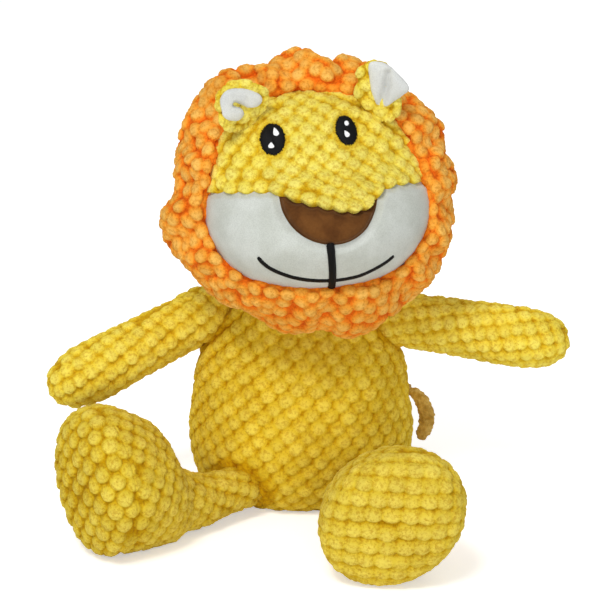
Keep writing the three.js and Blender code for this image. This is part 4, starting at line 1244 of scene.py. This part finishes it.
def neck():
    cols, rows = 180, 50
    turn, lift = np.meshgrid(np.arange(cols) / cols * TURN, np.linspace(0, math.pi / 2 - 0.03, rows))
    n = on_dome(turn, lift)
    gather = 0.5 * np.cos(NECK_GATHERS * turn.ravel()) * np.cos(lift.ravel())
    i, j = np.meshgrid(np.arange(NECK_GATHERS), np.arange(4))
    centres = NECK_DOME * on_dome((i + 0.5 * (j % 2)) / NECK_GATHERS * TURN, 0.1 + j * 0.33)
    place = Place(joint_at["neck"])
    high, tone = pile(n * NECK_DOME, centres, place.down)
    p = n * NECK_DOME + n * ((high - 1) * 2.0 + gather)[:, None]
    piece("neck_cloth", place.world(p), quads(rows, cols, True), YELLOW, "neck",
          ["neck_sleeve", "neck_stuffing"], NECK_FILL, height=high, tone=tone)


neck()


# Tail and closing stitch


# The ways out of a line, and the turns round it that they take
def spokes(line, sides):
    tangent = unit(np.gradient(line, axis=0))
    side = unit(np.cross(np.array([0.0, 1.0, 0.0]), tangent))
    other = np.cross(tangent, side)
    turn = np.arange(sides) / sides * TURN
    c, s = np.cos(turn)[None, :, None], np.sin(turn)[None, :, None]
    return side[:, None] * c + other[:, None] * s, turn


# The tail's route in shares of its span; and where the stem and the tuft begin and end along it
TAIL_SPAN = 70
TAIL_ROUTE = [(0, 0, 0), (0.18, 0.13, 0.08), (0.46, 0.16, 0.21), (0.76, 0.05, 0.32), (0.96, -0.1, 0.28),
              (1.03, -0.19, 0.1), (0.97, -0.21, -0.1)]
STEM, TUFT = (0.0, 0.64), (0.62, 1.0)
STEM_RADIUS, TUFT_RADIUS = 3.9, 5.4


def tail_piece(name, ends, material, shape, uneven, dark):
    count, sides = 130, 48
    line = smoothed(np.array(TAIL_ROUTE) * TAIL_SPAN, 600)
    length = lengths(line)
    along = np.linspace(*ends, count) * length[-1]
    centre = np.stack([np.interp(along, length, line[:, k]) for k in range(3)], -1)
    out, _ = spokes(centre, sides)
    share = np.linspace(0, 1, count)
    p = (centre[:, None] + out * shape(along, share)[:, None, None]).reshape(-1, 3)
    p = p + out.reshape(-1, 3) * (ruffle(p, 1.6) * uneven + ruffle(p, 0.7) * 0.3)[:, None]
    p = np.vstack([p, p[:sides].mean(0), p[-sides:].mean(0)])
    last = (count - 1) * sides
    faces = quads(count, sides, True)[:, ::-1].tolist()
    faces += [[i, (i + 1) % sides, count * sides] for i in range(sides)]
    faces += [[last + (i + 1) % sides, last + i, count * sides + 1] for i in range(sides)]
    shade = np.append(np.repeat(1 - dark * smooth(0.25, 0.6, share), sides), [1, 0.7])
    place = Place(joint_at["tail"])
    piece(f"{name}_cloth", place.world(p), faces, material, "tail", [name], TAIL_FILL, shade=shade)


# The stem is thickest where it is sewn on, and the tuft is fullest toward its end
def stem_radius(along, share):
    return STEM_RADIUS + 4.0 * bell(along, 4)


def tuft_radius(along, share):
    swell = np.sqrt(np.clip(1 - np.abs(2 * share - 1) ** 2.6, 0, 1))
    return TUFT_RADIUS * (0.15 + 0.85 * swell) * (0.68 + 0.38 * share)


tail_piece("tail_stem", STEM, TAN, stem_radius, 0.4, 0)
tail_piece("tail_tuft", TUFT, FAWN, tuft_radius, 0.7, 0.3)


# The back of the torso at a height, some way aside from its middle
def torso_back_at(height, aside):
    v = np.linspace(0.05, 0.95, 4000)
    share = np.interp(height, spline(TORSO_STATIONS, v)[:, 2], v)
    depth = torso_point(np.array([0.25]), np.array([share]))[0, 1]
    bearing = math.pi / 2 + aside / depth
    return torso_point(np.array([bearing / TURN]), np.array([share]))[0]


def closing_stitch():
    stitches, low, high, aside, over = 10, 38, 94, 2.6, 1.2
    points = [
        torso_back_at(height, aside if k % 2 else -aside) + [0, over, 0]
        for k, height in enumerate(np.linspace(low, high, stitches))
    ]
    line = smoothed(points, 500)
    sides = 10
    out, turn = spokes(line, sides)
    ply = 1 + 0.12 * np.sin(np.arange(500)[:, None] * 0.9 + turn[None] * 2)
    p = (line[:, None] + out * (0.7 * ply)[..., None]).reshape(-1, 3)
    faces = quads(500, sides, True)[:, ::-1]
    piece("closing_stitch_thread", TORSO.world(p), faces, STITCH, "torso", ["closing_stitch"])


closing_stitch()


# Floor, light and camera

FLOOR_HALF, FLOOR_GLOW = 4, 0.44


def floor():
    mesh = bpy.data.meshes.new("floor")
    corners = [(x * FLOOR_HALF, y * FLOOR_HALF, 0) for x, y in ((-1, -1), (1, -1), (1, 1), (-1, 1))]
    mesh.from_pydata(corners, [], [(0, 1, 2, 3)])
    material, tree, shader = new_material("floor_paper")
    paper = ramp(tree, noise(tree, 6, 2, 0.5), [(0.3, (246, 246, 246)), (0.7, (250, 250, 250))])
    tree.links.new(paper, shader.inputs["Base Color"])
    set_inputs(shader, Roughness=1.0, Specular_IOR_Level=0.0, Emission_Color=(1, 1, 1, 1))
    path = tree.nodes.new("ShaderNodeLightPath")
    glow = tree.nodes.new("ShaderNodeMath")
    glow.operation = "MULTIPLY"
    glow.inputs[1].default_value = FLOOR_GLOW
    tree.links.new(path.outputs["Is Camera Ray"], glow.inputs[0])
    tree.links.new(glow.outputs[0], shader.inputs["Emission Strength"])
    mesh.materials.append(material)
    add("floor", mesh)


floor()


def aim(obj, place, target):
    obj.location = place
    obj.rotation_euler = (Vector(target) - Vector(place)).to_track_quat("-Z", "Y").to_euler()


LAMPS_AIM = (0, 0, 0.13)
for name, place, size, power in (
    ("key", (-0.4, -1.0, 1.6), 0.6, 15.4),
    ("fill", (0.1, -1.5, 0.1), 1.0, 9.0),
    ("rim", (0.3, 1.3, 1.1), 0.8, 6),
):
    light = bpy.data.lights.new(name, "AREA")
    light.shape = "DISK"
    light.size = size
    light.energy = power
    aim(add(name, light), place, LAMPS_AIM)

# The world lights the object at one level and shows white behind it
WORLD_LIGHT, WORLD_SHOWN = 0.47, 1.0
world = bpy.data.worlds.new("studio")
bpy.context.scene.world = world
world.use_nodes = True
tree = world.node_tree
tree.nodes.clear()
out = tree.nodes.new("ShaderNodeOutputWorld")
path = tree.nodes.new("ShaderNodeLightPath")
level = tree.nodes.new("ShaderNodeMapRange")
set_inputs(level, To_Min=WORLD_LIGHT, To_Max=WORLD_SHOWN)
tree.links.new(path.outputs["Is Camera Ray"], level.inputs["Value"])
sky = tree.nodes.new("ShaderNodeBackground")
set_inputs(sky, Color=(1, 1, 1, 1))
tree.links.new(level.outputs[0], sky.inputs["Strength"])
tree.links.new(sky.outputs[0], out.inputs[0])

bpy.context.scene.view_settings.view_transform = "Standard"

# The photo's camera: 1.3 m away and 18 degrees up, with the width of its picture at the lion, and
# how far the picture's middle lies from the lion's
DISTANCE, PICTURE_WIDTH, SENSOR = 1.3, 0.360, 36
PICTURE_SHIFT = (-0.00626, -0.00206)
camera_data = bpy.data.cameras.new("camera")
camera = add("camera", camera_data)
aim(camera, (0, -1.23637, 0.54520), (0, 0, 0.14347))
camera_data.sensor_width = SENSOR
camera_data.lens = SENSOR * DISTANCE / PICTURE_WIDTH
camera_data.shift_x, camera_data.shift_y = (shift / PICTURE_WIDTH for shift in PICTURE_SHIFT)
bpy.context.scene.camera = camera
